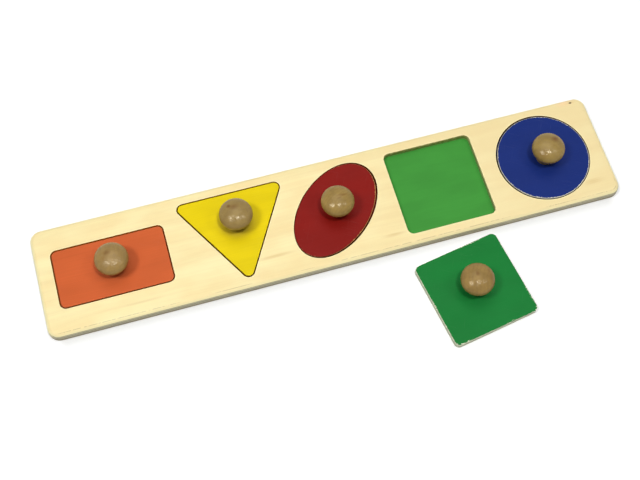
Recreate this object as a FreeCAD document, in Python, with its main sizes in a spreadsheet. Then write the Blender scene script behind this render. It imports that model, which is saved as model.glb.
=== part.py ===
import FreeCAD, Part
import math
import os
import Sketcher

# A long wooden peg puzzle: one row of five shapes, each lifted out by a turned knob.
# Millimetres. The origin is the middle of the board's underside: +X runs along the
# row from the rectangle to the circle, +Y to the back and +Z up.

os.makedirs("parts", exist_ok=True)
doc = FreeCAD.newDocument("peg_puzzle")

# Sizes that can be set by themselves
driving_sizes = (
    ("frame_thickness", 6.0, "plywood that the shapes are cut out of"),
    ("backing_thickness", 4.0, "plywood glued under it, the floor of each recess"),
    ("side_margin", 8.45, "from the tallest shape to each long edge of the board"),
    ("end_margin", 14.7, "from the first and the last shape to the board's ends"),
    ("board_corner", 10.0, "radius of the board's corners, seen from above"),
    ("board_roundover", 4.0, "radius of the board's upper edge"),
    ("board_arris", 0.8, "radius of the board's lower edge"),
    ("rectangle_length", 99.5, "along the row"),
    ("rectangle_width", 54.8, "across the row"),
    ("triangle_side", 101.5, "between the triangle's sharp corners"),
    ("oval_length", 100.0, "long axis"),
    ("oval_width", 62.5, "short axis"),
    ("oval_turn", 44.5, "degrees from the row to the long axis"),
    ("square_side", 81.1, "side of the square recess"),
    ("circle_diameter", 84.5, "diameter of the round recess"),
    ("recess_corner", 5.5, "radius of the corners of the recesses"),
    ("rectangle_gap", 15.0, "from the rectangle to the triangle"),
    ("slant_gap", 20.5, "from the triangle's slanted side to the oval"),
    ("oval_gap", 13.2, "from the oval to the square"),
    ("square_gap", 15.95, "from the square to the circle"),
    ("insert_thickness", 6.0, "plywood of the loose shapes, flush with the frame"),
    ("insert_clearance", 0.8, "all round a shape that lies in its recess"),
    ("insert_arris", 0.5, "radius of the sanded edges of the shapes"),
    ("loose_gap", 5.85, "from the board's front to the square that lies before it"),
    ("loose_turn", 9.7, "degrees that the square is turned as it lies there"),
    ("knob_diameter", 29.4, "at the belt"),
    ("knob_belt_height", 15.5, "middle of the belt above the shape"),
    ("knob_belt_radius", 6.5, "radius of the rounded belt"),
    ("knob_crown", 2.3, "rise of the domed top above the rounded belt"),
    ("knob_foot_diameter", 17.0, "where the knob stands on the shape"),
    ("knob_foot_height", 2.0, "straight part of the foot"),
    ("knob_offset", 1.6, "along the row from the middle of a shape to its knob"),
    ("square_knob_offset", 2.25, "across the row from the middle of the square to its knob"),
    ("screw_head_diameter", 7.0, "countersunk head"),
    ("screw_head_rim", 0.3, "straight rim of the head"),
    ("screw_head_sink", 0.3, "the head lies this deep in the shape's underside"),
    ("screw_shank_diameter", 3.5, "plain shank"),
    ("screw_shank_clearance", 0.25, "round the shank in the shape"),
    ("screw_core_diameter", 2.8, "threaded part, which fills the knob's pilot hole"),
    ("screw_bite", 12.0, "length of the screw in the knob, with its point"),
    ("screw_point", 3.0, "length of the point"),
    ("pilot_spare", 1.0, "depth of the pilot hole beyond the screw's point"),
    ("cross_span", 3.8, "tip to tip of the cross in the screw's head"),
    ("cross_width", 0.9, "width of the cross's arms"),
    ("cross_depth", 1.4, "depth of the cross"),
)

# Sizes that follow from them
derived_sizes = (
    ("triangle_inner", "triangle_side / (2 * sqrt(3))", "from the triangle's middle to its sides"),
    ("triangle_rounded_height", "3 * triangle_inner - recess_corner", "base to rounded point"),
    ("triangle_half_width", "triangle_side / 2 - (sqrt(3) - 1) * recess_corner",
     "half its rounded base"),
    ("oval_half_width", "sqrt((oval_length * cos(oval_turn))^2 + (oval_width * sin(oval_turn))^2) / 2",
     "half the oval's reach along the row"),
    ("oval_half_height", "sqrt((oval_length * sin(oval_turn))^2 + (oval_width * cos(oval_turn))^2) / 2",
     "half the oval's reach across the row"),
    ("oval_slant_reach",
     "sqrt((oval_length * cos(150 - oval_turn))^2 + (oval_width * sin(150 - oval_turn))^2) / 2",
     "the oval's reach towards the triangle's slanted side"),
    ("board_width",
     "2 * side_margin + max(rectangle_width; triangle_rounded_height; 2 * oval_half_height;"
     " square_side; circle_diameter)", "across the row"),
    ("triangle_y", "(triangle_inner - recess_corner) / 2", "middle of the triangle"),
    ("rectangle_run", "end_margin + rectangle_length / 2", "from the board's end to the rectangle"),
    ("triangle_run",
     "rectangle_run + rectangle_length / 2 + rectangle_gap + triangle_half_width",
     "from the board's end to the triangle"),
    ("oval_run",
     "triangle_run + (triangle_inner + slant_gap + oval_slant_reach"
     " - triangle_y * sin(30)) / cos(30)", "from the board's end to the oval"),
    ("square_run", "oval_run + oval_half_width + oval_gap + square_side / 2",
     "from the board's end to the square"),
    ("circle_run", "square_run + square_side / 2 + square_gap + circle_diameter / 2",
     "from the board's end to the circle"),
    ("board_length", "circle_run + circle_diameter / 2 + end_margin", "along the row"),
    ("rectangle_x", "rectangle_run - board_length / 2", "middle of the rectangle"),
    ("triangle_x", "triangle_run - board_length / 2", "middle of the triangle"),
    ("oval_x", "oval_run - board_length / 2", "middle of the oval"),
    ("square_x", "square_run - board_length / 2", "middle of the square recess"),
    ("circle_x", "circle_run - board_length / 2", "middle of the circle"),
    ("insert_square_side", "square_side - 2 * insert_clearance", "side of the square shape"),
    ("loose_reach", "insert_square_side / 2 * (cos(loose_turn) + sin(loose_turn))",
     "half the turned square's reach towards the board"),
    ("loose_y", "-(board_width / 2 + loose_gap + loose_reach)", "middle of the loose square"),
    ("knob_height", "knob_belt_height + knob_belt_radius + knob_crown", "foot to crown"),
    ("screw_sink_diameter", "screw_head_diameter + 2 * (screw_head_sink + screw_head_rim)",
     "of the countersink at the shape's underside"),
    ("screw_hole_diameter", "screw_shank_diameter + 2 * screw_shank_clearance",
     "of the hole through the shape"),
    ("screw_shank_end", "insert_thickness - screw_head_sink", "top of the plain shank"),
    ("screw_length", "screw_shank_end + screw_bite", "head to point"),
    ("pilot_depth", "screw_bite + pilot_spare", "of the hole in the knob"),
)

sheet = doc.addObject("Spreadsheet::Sheet", "Sizes")
row = 1
for alias, amount, meaning in driving_sizes:
    sheet.set(f"A{row}", alias)
    sheet.set(f"B{row}", str(amount))
    sheet.setAlias(f"B{row}", alias)
    sheet.set(f"C{row}", meaning)
    row += 1
doc.recompute()
for alias, formula, meaning in derived_sizes:
    sheet.set(f"A{row}", alias)
    sheet.set(f"B{row}", f"={formula}")
    sheet.setAlias(f"B{row}", alias)
    sheet.set(f"C{row}", meaning)
    doc.recompute()
    row += 1

# A recess keeps the full outline, and a loose shape is drawn smaller by its clearance
recess_inset = "0"
insert_inset = "Sizes.insert_clearance"

# How far a shape has slid towards one side of its recess, as shares of its clearance
slid_shares = {
    "rectangle": (0.0, 0.0),
    "triangle": (0.2, 0.2),
    "oval": (-0.5, 0.4),
    "square": (0.0, 0.0),
    "circle": (0.5, -0.1),
}

# How far each knob stands from the middle of its shape, along the row and across it
knob_shifts = {
    "rectangle": ("Sizes.knob_offset", "0"),
    "triangle": ("Sizes.knob_offset", "0"),
    "oval": ("Sizes.knob_offset", "0"),
    "square": ("0", "Sizes.square_knob_offset"),
    "circle": ("Sizes.knob_offset", "0"),
}


# The number that a formula of named sizes gives now
def number(formula):
    return float(sheet.evalExpression(formula.replace("Sizes.", "")))


# Sketches and their constraints

def origin_plane(body, role):
    for feature in body.Origin.OriginFeatures:
        if feature.Role == role:
            return feature
    raise ValueError(f"{body.Label} has no {role}")


def new_sketch(body, name, role="XY_Plane", place=None, turn="0"):
    sketch = body.newObject("Sketcher::SketchObject", f"{body.Label}_{name}")
    sketch.AttachmentSupport = [(origin_plane(body, role), "")]
    sketch.MapMode = "FlatFace"
    if place:
        sketch.setExpression("AttachmentOffset.Base.x", place[0])
        sketch.setExpression("AttachmentOffset.Base.y", place[1])
        sketch.setExpression("AttachmentOffset.Rotation.Angle", turn)
    return sketch


# Adds a driven constraint, with its size bound to a formula
def bind(sketch, kind, places, formula):
    index = sketch.addConstraint(Sketcher.Constraint(kind, *places, number(formula)))
    sketch.renameConstraint(index, f"{kind.lower()}_{index}")
    sketch.setExpression(f"Constraints.{kind.lower()}_{index}", formula)


def fix(sketch, kind, *places):
    sketch.addConstraint(Sketcher.Constraint(kind, *places))


# Ties one point of a sketch to formulas for its two coordinates
def bind_point(sketch, edge, end, across, up):
    for kind, axis, formula in (("DistanceX", -2, across), ("DistanceY", -1, up)):
        if formula == "0":
            fix(sketch, "PointOnObject", edge, end, axis)
        else:
            bind(sketch, kind, (-1, 1, edge, end), formula)


def draw_polygon(sketch, corners):
    points = [FreeCAD.Vector(number(across), number(up), 0) for across, up in corners]
    count = len(points)
    for i in range(count):
        sketch.addGeometry(Part.LineSegment(points[i], points[(i + 1) % count]), False)
    for i in range(count):
        fix(sketch, "Coincident", i, 2, (i + 1) % count, 1)
    for i, (across, up) in enumerate(corners):
        bind_point(sketch, i, 1, across, up)


# An outline with round corners: the middles of its corners, anticlockwise, and their radius
def draw_rounded(sketch, middles, radius):
    points = [FreeCAD.Vector(number(across), number(up), 0) for across, up in middles]
    count = len(points)
    upright = FreeCAD.Vector(0, 0, 1)
    outward = []
    for i in range(count):
        along = points[(i + 1) % count] - points[i]
        outward.append(FreeCAD.Vector(along.y, -along.x, 0).normalize())
    for i in range(count):
        start = outward[i - 1]
        end = outward[i]
        circle = Part.Circle(points[i], upright, number(radius))
        sketch.addGeometry(Part.ArcOfCircle(
            circle, math.atan2(start.y, start.x), math.atan2(end.y, end.x)), False)
    for i in range(count):
        shift = outward[i] * number(radius)
        sketch.addGeometry(Part.LineSegment(
            points[i] + shift, points[(i + 1) % count] + shift), False)
    for i in range(count):
        fix(sketch, "Tangent", i, 2, count + i, 1)
        fix(sketch, "Tangent", count + i, 2, (i + 1) % count, 1)
    for i, (across, up) in enumerate(middles):
        bind_point(sketch, i, 3, across, up)
        bind(sketch, "Radius", (i,), radius)


def draw_box(sketch, length, width, corner):
    across = f"(({length}) / 2 - {corner})"
    up = f"(({width}) / 2 - {corner})"
    draw_rounded(sketch, (
        (f"-{across}", f"-{up}"), (across, f"-{up}"), (across, up), (f"-{across}", up),
    ), corner)


def draw_disc(sketch, diameter):
    middle = FreeCAD.Vector(0, 0, 0)
    upright = FreeCAD.Vector(0, 0, 1)
    sketch.addGeometry(Part.Circle(middle, upright, number(diameter) / 2), False)
    fix(sketch, "Coincident", 0, 3, -1, 1)
    bind(sketch, "Diameter", (0,), diameter)


# The outlines of the five shapes, drawn about their middles

def draw_rectangle(sketch, inset):
    corner = f"(Sizes.recess_corner - {inset})"
    draw_box(sketch, f"Sizes.rectangle_length - 2 * {inset}",
             f"Sizes.rectangle_width - 2 * {inset}", corner)


def draw_triangle(sketch, inset):
    inner = "(Sizes.triangle_inner - Sizes.recess_corner)"
    draw_rounded(sketch, (
        ("0", f"-2 * {inner}"),
        (f"sqrt(3) * {inner}", inner),
        (f"-sqrt(3) * {inner}", inner),
    ), f"(Sizes.recess_corner - {inset})")


def draw_oval(sketch, inset):
    length = f"Sizes.oval_length - 2 * {inset}"
    width = f"Sizes.oval_width - 2 * {inset}"
    middle = FreeCAD.Vector(0, 0, 0)
    long_end = FreeCAD.Vector(number(length) / 2, 0, 0)
    short_end = FreeCAD.Vector(0, number(width) / 2, 0)
    sketch.addGeometry(Part.Ellipse(long_end, short_end, middle), False)
    sketch.exposeInternalGeometry(0)
    fix(sketch, "Coincident", 0, 3, -1, 1)
    fix(sketch, "Horizontal", 1)
    bind(sketch, "Distance", (1,), length)
    bind(sketch, "Distance", (2,), width)


def draw_square(sketch, inset):
    side = f"Sizes.square_side - 2 * {inset}"
    draw_box(sketch, side, side, f"(Sizes.recess_corner - {inset})")


def draw_circle(sketch, inset):
    draw_disc(sketch, f"Sizes.circle_diameter - 2 * {inset}")


# Each shape: how it is drawn, and where its recess is and how it is turned
shapes = {
    "rectangle": (draw_rectangle, "Sizes.rectangle_x", "0", "0"),
    "triangle": (draw_triangle, "Sizes.triangle_x", "Sizes.triangle_y", "0"),
    "oval": (draw_oval, "Sizes.oval_x", "0", "Sizes.oval_turn"),
    "square": (draw_square, "Sizes.square_x", "0", "0"),
    "circle": (draw_circle, "Sizes.circle_x", "0", "0"),
}


# Bodies and their features

# Edges within this distance of a face count as lying on it
touching = 1e-4


def new_body(label, places=()):
    body = doc.addObject("PartDesign::Body", label)
    body.Label = label
    for path, formula in places:
        body.setExpression(path, formula)
    return body


def add_feature(body, kind, name, profile=None):
    feature = body.newObject(f"PartDesign::{kind}", f"{body.Label}_{name}")
    if profile:
        feature.Profile = profile
        profile.Visibility = False
    return feature


def pad(body, name, sketch, height):
    feature = add_feature(body, "Pad", name, sketch)
    feature.setExpression("Length", height)
    doc.recompute()
    return feature


# Cuts upwards from the sketch's plane, through everything if no depth is given
def cut_up(body, name, sketch, depth=None):
    before = body.Shape.Volume
    feature = add_feature(body, "Pocket", name, sketch)
    feature.Reversed = True
    if depth:
        feature.setExpression("Length", depth)
    else:
        feature.Type = "ThroughAll"
    doc.recompute()
    if body.Shape.Volume >= before:
        raise ValueError(f"{feature.Name} cuts nothing")
    return feature


def revolve(body, name, sketch):
    feature = add_feature(body, "Revolution", name, sketch)
    feature.ReferenceAxis = (sketch, ["V_Axis"])
    feature.Angle = 360
    doc.recompute()
    return feature


# Rounds the edges of the last feature that a test picks out
def round_edges(body, name, radius, picks):
    base = body.Tip
    edges = base.Shape.Edges
    names = [f"Edge{i + 1}" for i, edge in enumerate(edges) if picks(edge)]
    if not names:
        raise ValueError(f"{body.Label} has no edges for {name}")
    feature = add_feature(body, "Fillet", name)
    feature.Base = (base, names)
    feature.setExpression("Radius", radius)
    doc.recompute()
    return feature


# Tests for edges that lie level, on one of the faces at these heights
def level_at(*heights):
    def picks(edge):
        low = edge.BoundBox.ZMin
        high = edge.BoundBox.ZMax
        return any(abs(low - height) < touching and abs(high - height) < touching
                   for height in heights)
    return picks


# The board: a frame with five cut-outs, glued on a plain backing

def board_outline(body):
    sketch = new_sketch(body, "outline")
    draw_box(sketch, "Sizes.board_length", "Sizes.board_width", "Sizes.board_corner")
    return sketch


def make_backing_board():
    body = new_body("backing_board")
    pad(body, "sheet", board_outline(body), "Sizes.backing_thickness")
    round_edges(body, "lower_edge", "Sizes.board_arris", level_at(0))
    return body


def make_frame_board():
    body = new_body("frame_board", ((".Placement.Base.z", "Sizes.backing_thickness"),))
    pad(body, "sheet", board_outline(body), "Sizes.frame_thickness")
    round_edges(body, "upper_edge", "Sizes.board_roundover",
                level_at(number("Sizes.frame_thickness")))
    for shape, (draw, across, up, turn) in shapes.items():
        sketch = new_sketch(body, f"{shape}_outline", place=(across, up), turn=turn)
        draw(sketch, recess_inset)
        cut_up(body, f"{shape}_recess", sketch)
    return body


# Where a shape lies: its recess, or for the square the table in front of it
def insert_place(shape):
    draw, across, up, turn = shapes[shape]
    if shape == "square":
        return {
            "x": "Sizes.square_x",
            "y": "Sizes.loose_y",
            "z": "0",
            "turn": "Sizes.loose_turn",
        }
    slid_x, slid_y = slid_shares[shape]
    return {
        "x": f"{across} + {slid_x} * Sizes.insert_clearance",
        "y": f"{up} + {slid_y} * Sizes.insert_clearance",
        "z": "Sizes.backing_thickness",
        "turn": turn,
    }


def placed_body(label, shape, lift="0", shift=("0", "0")):
    place = insert_place(shape)
    return new_body(label, (
        (".Placement.Base.x", f"{place['x']} + {shift[0]}"),
        (".Placement.Base.y", f"{place['y']} + {shift[1]}"),
        (".Placement.Base.z", f"{place['z']} + {lift}"),
        (".Placement.Rotation.Angle", place["turn"]),
    ))


# The knob's place on its shape, along the shape's own axes
def knob_place(shape):
    along, across = knob_shifts[shape]
    turn = insert_place(shape)["turn"]
    return (f"{along} * cos({turn}) + {across} * sin({turn})",
            f"{across} * cos({turn}) - {along} * sin({turn})")


def make_insert(shape):
    draw = shapes[shape][0]
    body = placed_body(f"{shape}_insert", shape)
    sketch = new_sketch(body, "outline")
    draw(sketch, insert_inset)
    pad(body, "sheet", sketch, "Sizes.insert_thickness")
    round_edges(body, "sanded_edges", "Sizes.insert_arris",
                level_at(0, number("Sizes.insert_thickness")))
    sketch = new_sketch(body, "screw_place", place=knob_place(shape))
    draw_disc(sketch, "Sizes.screw_hole_diameter")
    doc.recompute()
    before = body.Shape.Volume
    hole = add_feature(body, "Hole", "screw_hole", sketch)
    doc.recompute()
    hole.Threaded = False
    hole.Reversed = True
    hole.DepthType = "ThroughAll"
    hole.HoleCutType = "Countersink"
    hole.HoleCutCustomValues = True
    hole.HoleCutCountersinkAngle = 90
    hole.setExpression("Diameter", "Sizes.screw_hole_diameter")
    hole.setExpression("HoleCutDiameter", "Sizes.screw_sink_diameter")
    doc.recompute()
    if body.Shape.Volume >= before:
        raise ValueError(f"{hole.Name} cuts nothing")
    return body


# A turned knob: foot, hollow neck, rounded belt and domed crown, all tangent
def draw_knob_profile(sketch):
    foot_radius = number("Sizes.knob_foot_diameter / 2")
    foot_height = number("Sizes.knob_foot_height")
    belt_radius = number("Sizes.knob_belt_radius")
    belt_height = number("Sizes.knob_belt_height")
    crown = number("Sizes.knob_crown")
    top = number("Sizes.knob_height")
    belt_x = number("Sizes.knob_diameter / 2") - belt_radius

    # The neck's and the crown's radii follow from their tangents
    rise = belt_height - foot_height
    neck_radius = ((foot_radius - belt_x) ** 2 + rise ** 2 - belt_radius ** 2)
    neck_radius /= 2 * (belt_x + belt_radius - foot_radius)
    crown_drop = (belt_x ** 2 - crown ** 2) / (2 * crown)
    neck_middle = FreeCAD.Vector(foot_radius + neck_radius, foot_height, 0)
    belt_middle = FreeCAD.Vector(belt_x, belt_height, 0)
    crown_middle = FreeCAD.Vector(0, belt_height - crown_drop, 0)
    under = math.atan2(neck_middle.y - belt_middle.y, neck_middle.x - belt_middle.x)
    over = math.atan2(belt_middle.y - crown_middle.y, belt_middle.x - crown_middle.x)
    upright = FreeCAD.Vector(0, 0, 1)

    def arc(middle, radius, start, end):
        return Part.ArcOfCircle(Part.Circle(middle, upright, radius), start, end)

    base = FreeCAD.Vector(0, 0, 0)
    foot_low = FreeCAD.Vector(foot_radius, 0, 0)
    foot_high = FreeCAD.Vector(foot_radius, foot_height, 0)
    crown_top = FreeCAD.Vector(0, top, 0)
    underside, foot, neck, belt, dome, core = range(6)
    sketch.addGeometry([
        Part.LineSegment(base, foot_low),
        Part.LineSegment(foot_low, foot_high),
        arc(neck_middle, neck_radius, math.pi + under, math.pi),
        arc(belt_middle, belt_radius, under, over),
        arc(crown_middle, top - crown_middle.y, over, math.pi / 2),
        Part.LineSegment(crown_top, base),
    ], False)
    fix(sketch, "Coincident", underside, 1, -1, 1)
    fix(sketch, "Horizontal", underside)
    fix(sketch, "Coincident", underside, 2, foot, 1)
    fix(sketch, "Vertical", foot)
    fix(sketch, "Tangent", foot, 2, neck, 2)
    fix(sketch, "Tangent", neck, 1, belt, 1)
    fix(sketch, "Tangent", belt, 2, dome, 1)
    fix(sketch, "PointOnObject", dome, 3, -2)
    fix(sketch, "Coincident", dome, 2, core, 1)
    fix(sketch, "Coincident", core, 2, -1, 1)
    fix(sketch, "Vertical", core)
    bind(sketch, "DistanceX", (underside, 1, underside, 2), "Sizes.knob_foot_diameter / 2")
    bind(sketch, "DistanceY", (foot, 1, foot, 2), "Sizes.knob_foot_height")
    bind(sketch, "Radius", (belt,), "Sizes.knob_belt_radius")
    bind_point(sketch, belt, 3, "Sizes.knob_diameter / 2 - Sizes.knob_belt_radius",
               "Sizes.knob_belt_height")
    bind(sketch, "DistanceY", (-1, 1, dome, 2), "Sizes.knob_height")


def make_knob(shape):
    body = placed_body(f"{shape}_knob", shape, "Sizes.insert_thickness", knob_shifts[shape])
    sketch = new_sketch(body, "profile", "XZ_Plane")
    draw_knob_profile(sketch)
    revolve(body, "turning", sketch)
    sketch = new_sketch(body, "pilot_place")
    draw_disc(sketch, "Sizes.screw_core_diameter")
    cut_up(body, "pilot_hole", sketch, "Sizes.pilot_depth")
    return body


# A countersunk wood screw, driven up through the shape into the knob
def make_screw(shape):
    body = placed_body(f"{shape}_screw", shape, "Sizes.screw_head_sink", knob_shifts[shape])
    head = "Sizes.screw_head_diameter / 2"
    shank = "Sizes.screw_shank_diameter / 2"
    core = "Sizes.screw_core_diameter / 2"
    sketch = new_sketch(body, "profile", "XZ_Plane")
    draw_polygon(sketch, (
        ("0", "0"),
        (head, "0"),
        (head, "Sizes.screw_head_rim"),
        (shank, f"Sizes.screw_head_rim + {head} - {shank}"),
        (shank, "Sizes.screw_shank_end"),
        (core, "Sizes.screw_shank_end"),
        (core, "Sizes.screw_length - Sizes.screw_point"),
        ("0", "Sizes.screw_length"),
    ))
    revolve(body, "turning", sketch)
    arm = "Sizes.cross_span / 2"
    side = "Sizes.cross_width / 2"
    sketch = new_sketch(body, "cross_outline")
    draw_polygon(sketch, (
        (arm, f"-{side}"), (arm, side), (side, side), (side, arm),
        (f"-{side}", arm), (f"-{side}", side), (f"-{arm}", side), (f"-{arm}", f"-{side}"),
        (f"-{side}", f"-{side}"), (f"-{side}", f"-{arm}"), (side, f"-{arm}"), (side, f"-{side}"),
    ))
    cut_up(body, "cross", sketch, "Sizes.cross_depth")
    return body


nodes = [make_backing_board(), make_frame_board()]
for name in shapes:
    nodes.append(make_insert(name))
    nodes.append(make_knob(name))
    nodes.append(make_screw(name))
doc.recompute()

# Nothing is written unless every object and every shape is sound
for item in doc.Objects:
    if "Invalid" in item.State or "Error" in item.State:
        raise ValueError(f"{item.Name} did not compute: {item.State}")
for item in doc.findObjects("Sketcher::SketchObject"):
    if item.solve() != 0:
        raise ValueError(f"{item.Name} is not solved")
for node in nodes:
    if node.Shape.isNull() or not node.Shape.isValid() or len(node.Shape.Solids) != 1:
        raise ValueError(f"{node.Label} is not one sound solid")

for node in nodes:
    node.Shape.exportStep(f"parts/{node.Label}.step")
    box = node.Shape.optimalBoundingBox(False)
    print(f"{node.Label}: {node.Shape.Volume:.0f} mm3, x {box.XMin:.1f} to {box.XMax:.1f},"
          f" y {box.YMin:.1f} to {box.YMax:.1f}, z {box.ZMin:.1f} to {box.ZMax:.1f}")
print(f"board {number('board_length'):.1f} x {number('board_width'):.1f} mm")
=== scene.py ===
import math
import bpy
from mathutils import Euler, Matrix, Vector
from mathutils.geometry import delaunay_2d_cdt


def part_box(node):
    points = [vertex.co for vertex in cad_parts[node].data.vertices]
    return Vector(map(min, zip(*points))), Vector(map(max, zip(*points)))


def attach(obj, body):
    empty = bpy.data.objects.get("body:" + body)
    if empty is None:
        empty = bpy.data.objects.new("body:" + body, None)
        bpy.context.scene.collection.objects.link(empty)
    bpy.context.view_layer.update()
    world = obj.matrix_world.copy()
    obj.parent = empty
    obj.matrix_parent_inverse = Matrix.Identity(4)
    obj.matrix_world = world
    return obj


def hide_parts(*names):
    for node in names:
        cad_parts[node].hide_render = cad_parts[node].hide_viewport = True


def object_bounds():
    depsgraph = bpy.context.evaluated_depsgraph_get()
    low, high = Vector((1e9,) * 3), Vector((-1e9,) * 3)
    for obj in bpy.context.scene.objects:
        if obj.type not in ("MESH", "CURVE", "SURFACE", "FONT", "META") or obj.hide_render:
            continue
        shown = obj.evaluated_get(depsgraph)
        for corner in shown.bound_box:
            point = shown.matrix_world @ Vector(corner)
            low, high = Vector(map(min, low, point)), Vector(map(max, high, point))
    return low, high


# A long peg puzzle: plywood board, five painted shapes with turned knobs, screwed from below.
# Meshes are drawn in millimetres and stored in metres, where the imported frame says.

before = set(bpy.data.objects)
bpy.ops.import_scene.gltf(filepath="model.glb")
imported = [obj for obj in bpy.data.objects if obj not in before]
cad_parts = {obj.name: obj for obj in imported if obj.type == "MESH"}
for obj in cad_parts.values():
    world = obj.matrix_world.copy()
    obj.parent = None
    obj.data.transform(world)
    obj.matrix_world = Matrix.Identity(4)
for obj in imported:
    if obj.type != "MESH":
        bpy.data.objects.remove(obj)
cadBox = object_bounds()
mm = 0.001
shapeNames = ("rectangle", "triangle", "oval", "square", "circle")
looseShape = "square"  # it lies on the table in front of its empty recess
plies = {"frame": 5, "shape": 5, "backing": 3}
seeds = {"wall": (1.0, 1.0), "floor": (23.0, 1.0), "shape": (30.0, 3.0), "knob": (60.0, 5.0)}
print("frame loaded:", len(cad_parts), "nodes")


# Each piece has its own seed, so that no two show the same part of a pattern
def seedOf(kind, shape):
    first, step = seeds[kind]
    return first + step * shapeNames.index(shape)


# Node trees: small helpers that shader and geometry trees share

# Links an input to a socket, or sets a plain value on it
def setInputs(tree, node, values):
    for name, value in values.items():
        if isinstance(value, bpy.types.NodeSocket):
            tree.links.new(value, node.inputs[name])
        else:
            node.inputs[name].default_value = value


def addNode(tree, kind, inputs=None, **settings):
    node = tree.nodes.new(kind)
    for name, value in settings.items():
        setattr(node, name, value)
    setInputs(tree, node, inputs or {})
    return node


def calc(tree, operation, *values):
    node = addNode(tree, "ShaderNodeMath", dict(enumerate(values)), operation=operation)
    return node.outputs[0]


def times(tree, first, *others):
    result = first
    for other in others:
        result = calc(tree, "MULTIPLY", result, other)
    return result


def vectorCalc(tree, operation, first, second=(0.0, 0.0, 0.0)):
    node = addNode(tree, "ShaderNodeVectorMath", {0: first, 1: second}, operation=operation)
    return node.outputs["Value" if operation in ("LENGTH", "DOT_PRODUCT") else "Vector"]


def joinVector(tree, x, y, z):
    return addNode(tree, "ShaderNodeCombineXYZ", {"X": x, "Y": y, "Z": z}).outputs[0]


def splitVector(tree, vector):
    return addNode(tree, "ShaderNodeSeparateXYZ", {0: vector}).outputs


# A value taken smoothly from one range to another, and held at its ends
def fade(tree, value, low, high, lowOut=0.0, highOut=1.0):
    node = addNode(tree, "ShaderNodeMapRange", {
        "Value": value, "From Min": low, "From Max": high, "To Min": lowOut, "To Max": highOut,
    }, interpolation_type="SMOOTHSTEP")
    return node.outputs[0]


def mixColour(tree, share, first, second):
    node = addNode(tree, "ShaderNodeMix", {0: share, 6: first, 7: second}, data_type="RGBA")
    return node.outputs[2]


def mixValue(tree, share, first, second):
    return addNode(tree, "ShaderNodeMix", {0: share, 2: first, 3: second}).outputs[0]


# Lays a tone over a colour where a mask says, up to a share
def tint(tree, under, mask, share, tone):
    return mixColour(tree, times(tree, mask, share), under, tone)


# Noise whose features have a size in millimetres, one for each axis or one for all
def noiseAt(tree, place, size, detail=3.0, roughness=0.55):
    stretched = vectorCalc(tree, "DIVIDE", place, size)
    node = addNode(tree, "ShaderNodeTexNoise", {
        "Vector": stretched, "Scale": 1.0, "Detail": detail, "Roughness": roughness,
    })
    return node.outputs[0]


def newTree(name, kind, inputs, outputs):
    tree = bpy.data.node_groups.new(name, kind)
    for title, socket, value in inputs:
        made = tree.interface.new_socket(title, in_out="INPUT", socket_type=f"NodeSocket{socket}")
        if value is not None:
            made.default_value = value
    for title, socket in outputs:
        tree.interface.new_socket(title, in_out="OUTPUT", socket_type=f"NodeSocket{socket}")
    return tree, tree.nodes.new("NodeGroupInput").outputs, tree.nodes.new("NodeGroupOutput")


# A colour as it looks on the screen, 0 to 255, turned into the linear one that nodes use
def colour(red, green, blue):
    def linear(level):
        share = level / 255
        return share / 12.92 if share <= 0.04045 else ((share + 0.055) / 1.055) ** 2.4
    return (linear(red), linear(green), linear(blue), 1.0)


# The same colour, lighter or darker
def dimmed(tone, share):
    return tuple(min(1.0, level * share) for level in tone[:3]) + (1.0,)


# Shared effects: groups that put out masks only. Here and in the looks below, sizes and reaches
# are in millimetres, and a range is where a mask starts and ends, then its values there

def newEffect(name, inputs, masks):
    sockets = [(title, "Vector" if isinstance(value, tuple) else "Float", value)
               for title, value in {"Place": (0.0, 0.0, 0.0), **inputs}.items()]
    return newTree(name, "ShaderNodeTree", sockets, [(mask, "Float") for mask in masks])


# Puts one of the shared effects into a material
def useEffect(tree, effect, place, values):
    return addNode(tree, "ShaderNodeGroup", {"Place": place, **values}, node_tree=effect).outputs


# A pattern's place, moved away by its seed
def seededPlace(tree, given, shift):
    away = vectorCalc(tree, "MULTIPLY", given["Seed"], shift)
    return vectorCalc(tree, "ADD", given["Place"], away)


grainLook = {
    "seedShift": (37.1, 11.3, 1.0), "sway": 9.0, "swaySize": (95.0, 38.0, 38.0),
    "cloudStretch": 2.6, "poreSize": (2.6, 0.22, 0.22), "bandStretch": 1.5, "bandSpread": 6.0,
    "lines": (0.34, 0.68), "clouds": (0.3, 0.7), "pores": (0.66, 0.76), "bands": (0.36, 0.66),
}


def makeGrainEffect():
    look = grainLook
    tree, given, end = newEffect("woodGrain", {
        "Line Length": 120.0, "Line Width": 1.4, "Cloud Size": 26.0, "Seed": 0.0,
    }, ("Lines", "Clouds", "Pores", "Bands"))
    place = seededPlace(tree, given, look["seedShift"])
    # The lines sway a few millimetres to the side along the sheet
    sway = times(tree, noiseAt(tree, place, look["swaySize"], 1.0), look["sway"])
    place = vectorCalc(tree, "ADD", place, joinVector(tree, 0.0, sway, 0.0))
    length, width, cloud = given["Line Length"], given["Line Width"], given["Cloud Size"]
    lines = noiseAt(tree, place, joinVector(tree, length, width, width), 5.0, 0.62)
    cloudLength = times(tree, cloud, look["cloudStretch"])
    clouds = noiseAt(tree, place, joinVector(tree, cloudLength, cloud, cloud), 2.0, 0.5)
    pores = noiseAt(tree, place, look["poreSize"], 1.0)
    bandLength = times(tree, length, look["bandStretch"])
    bandWidth = times(tree, width, look["bandSpread"])
    bands = noiseAt(tree, place, joinVector(tree, bandLength, bandWidth, bandWidth), 2.0, 0.5)
    setInputs(tree, end, {
        "Lines": fade(tree, lines, *look["lines"]), "Clouds": fade(tree, clouds, *look["clouds"]),
        "Pores": fade(tree, pores, *look["pores"]), "Bands": fade(tree, bands, *look["bands"]),
    })
    return tree


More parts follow.
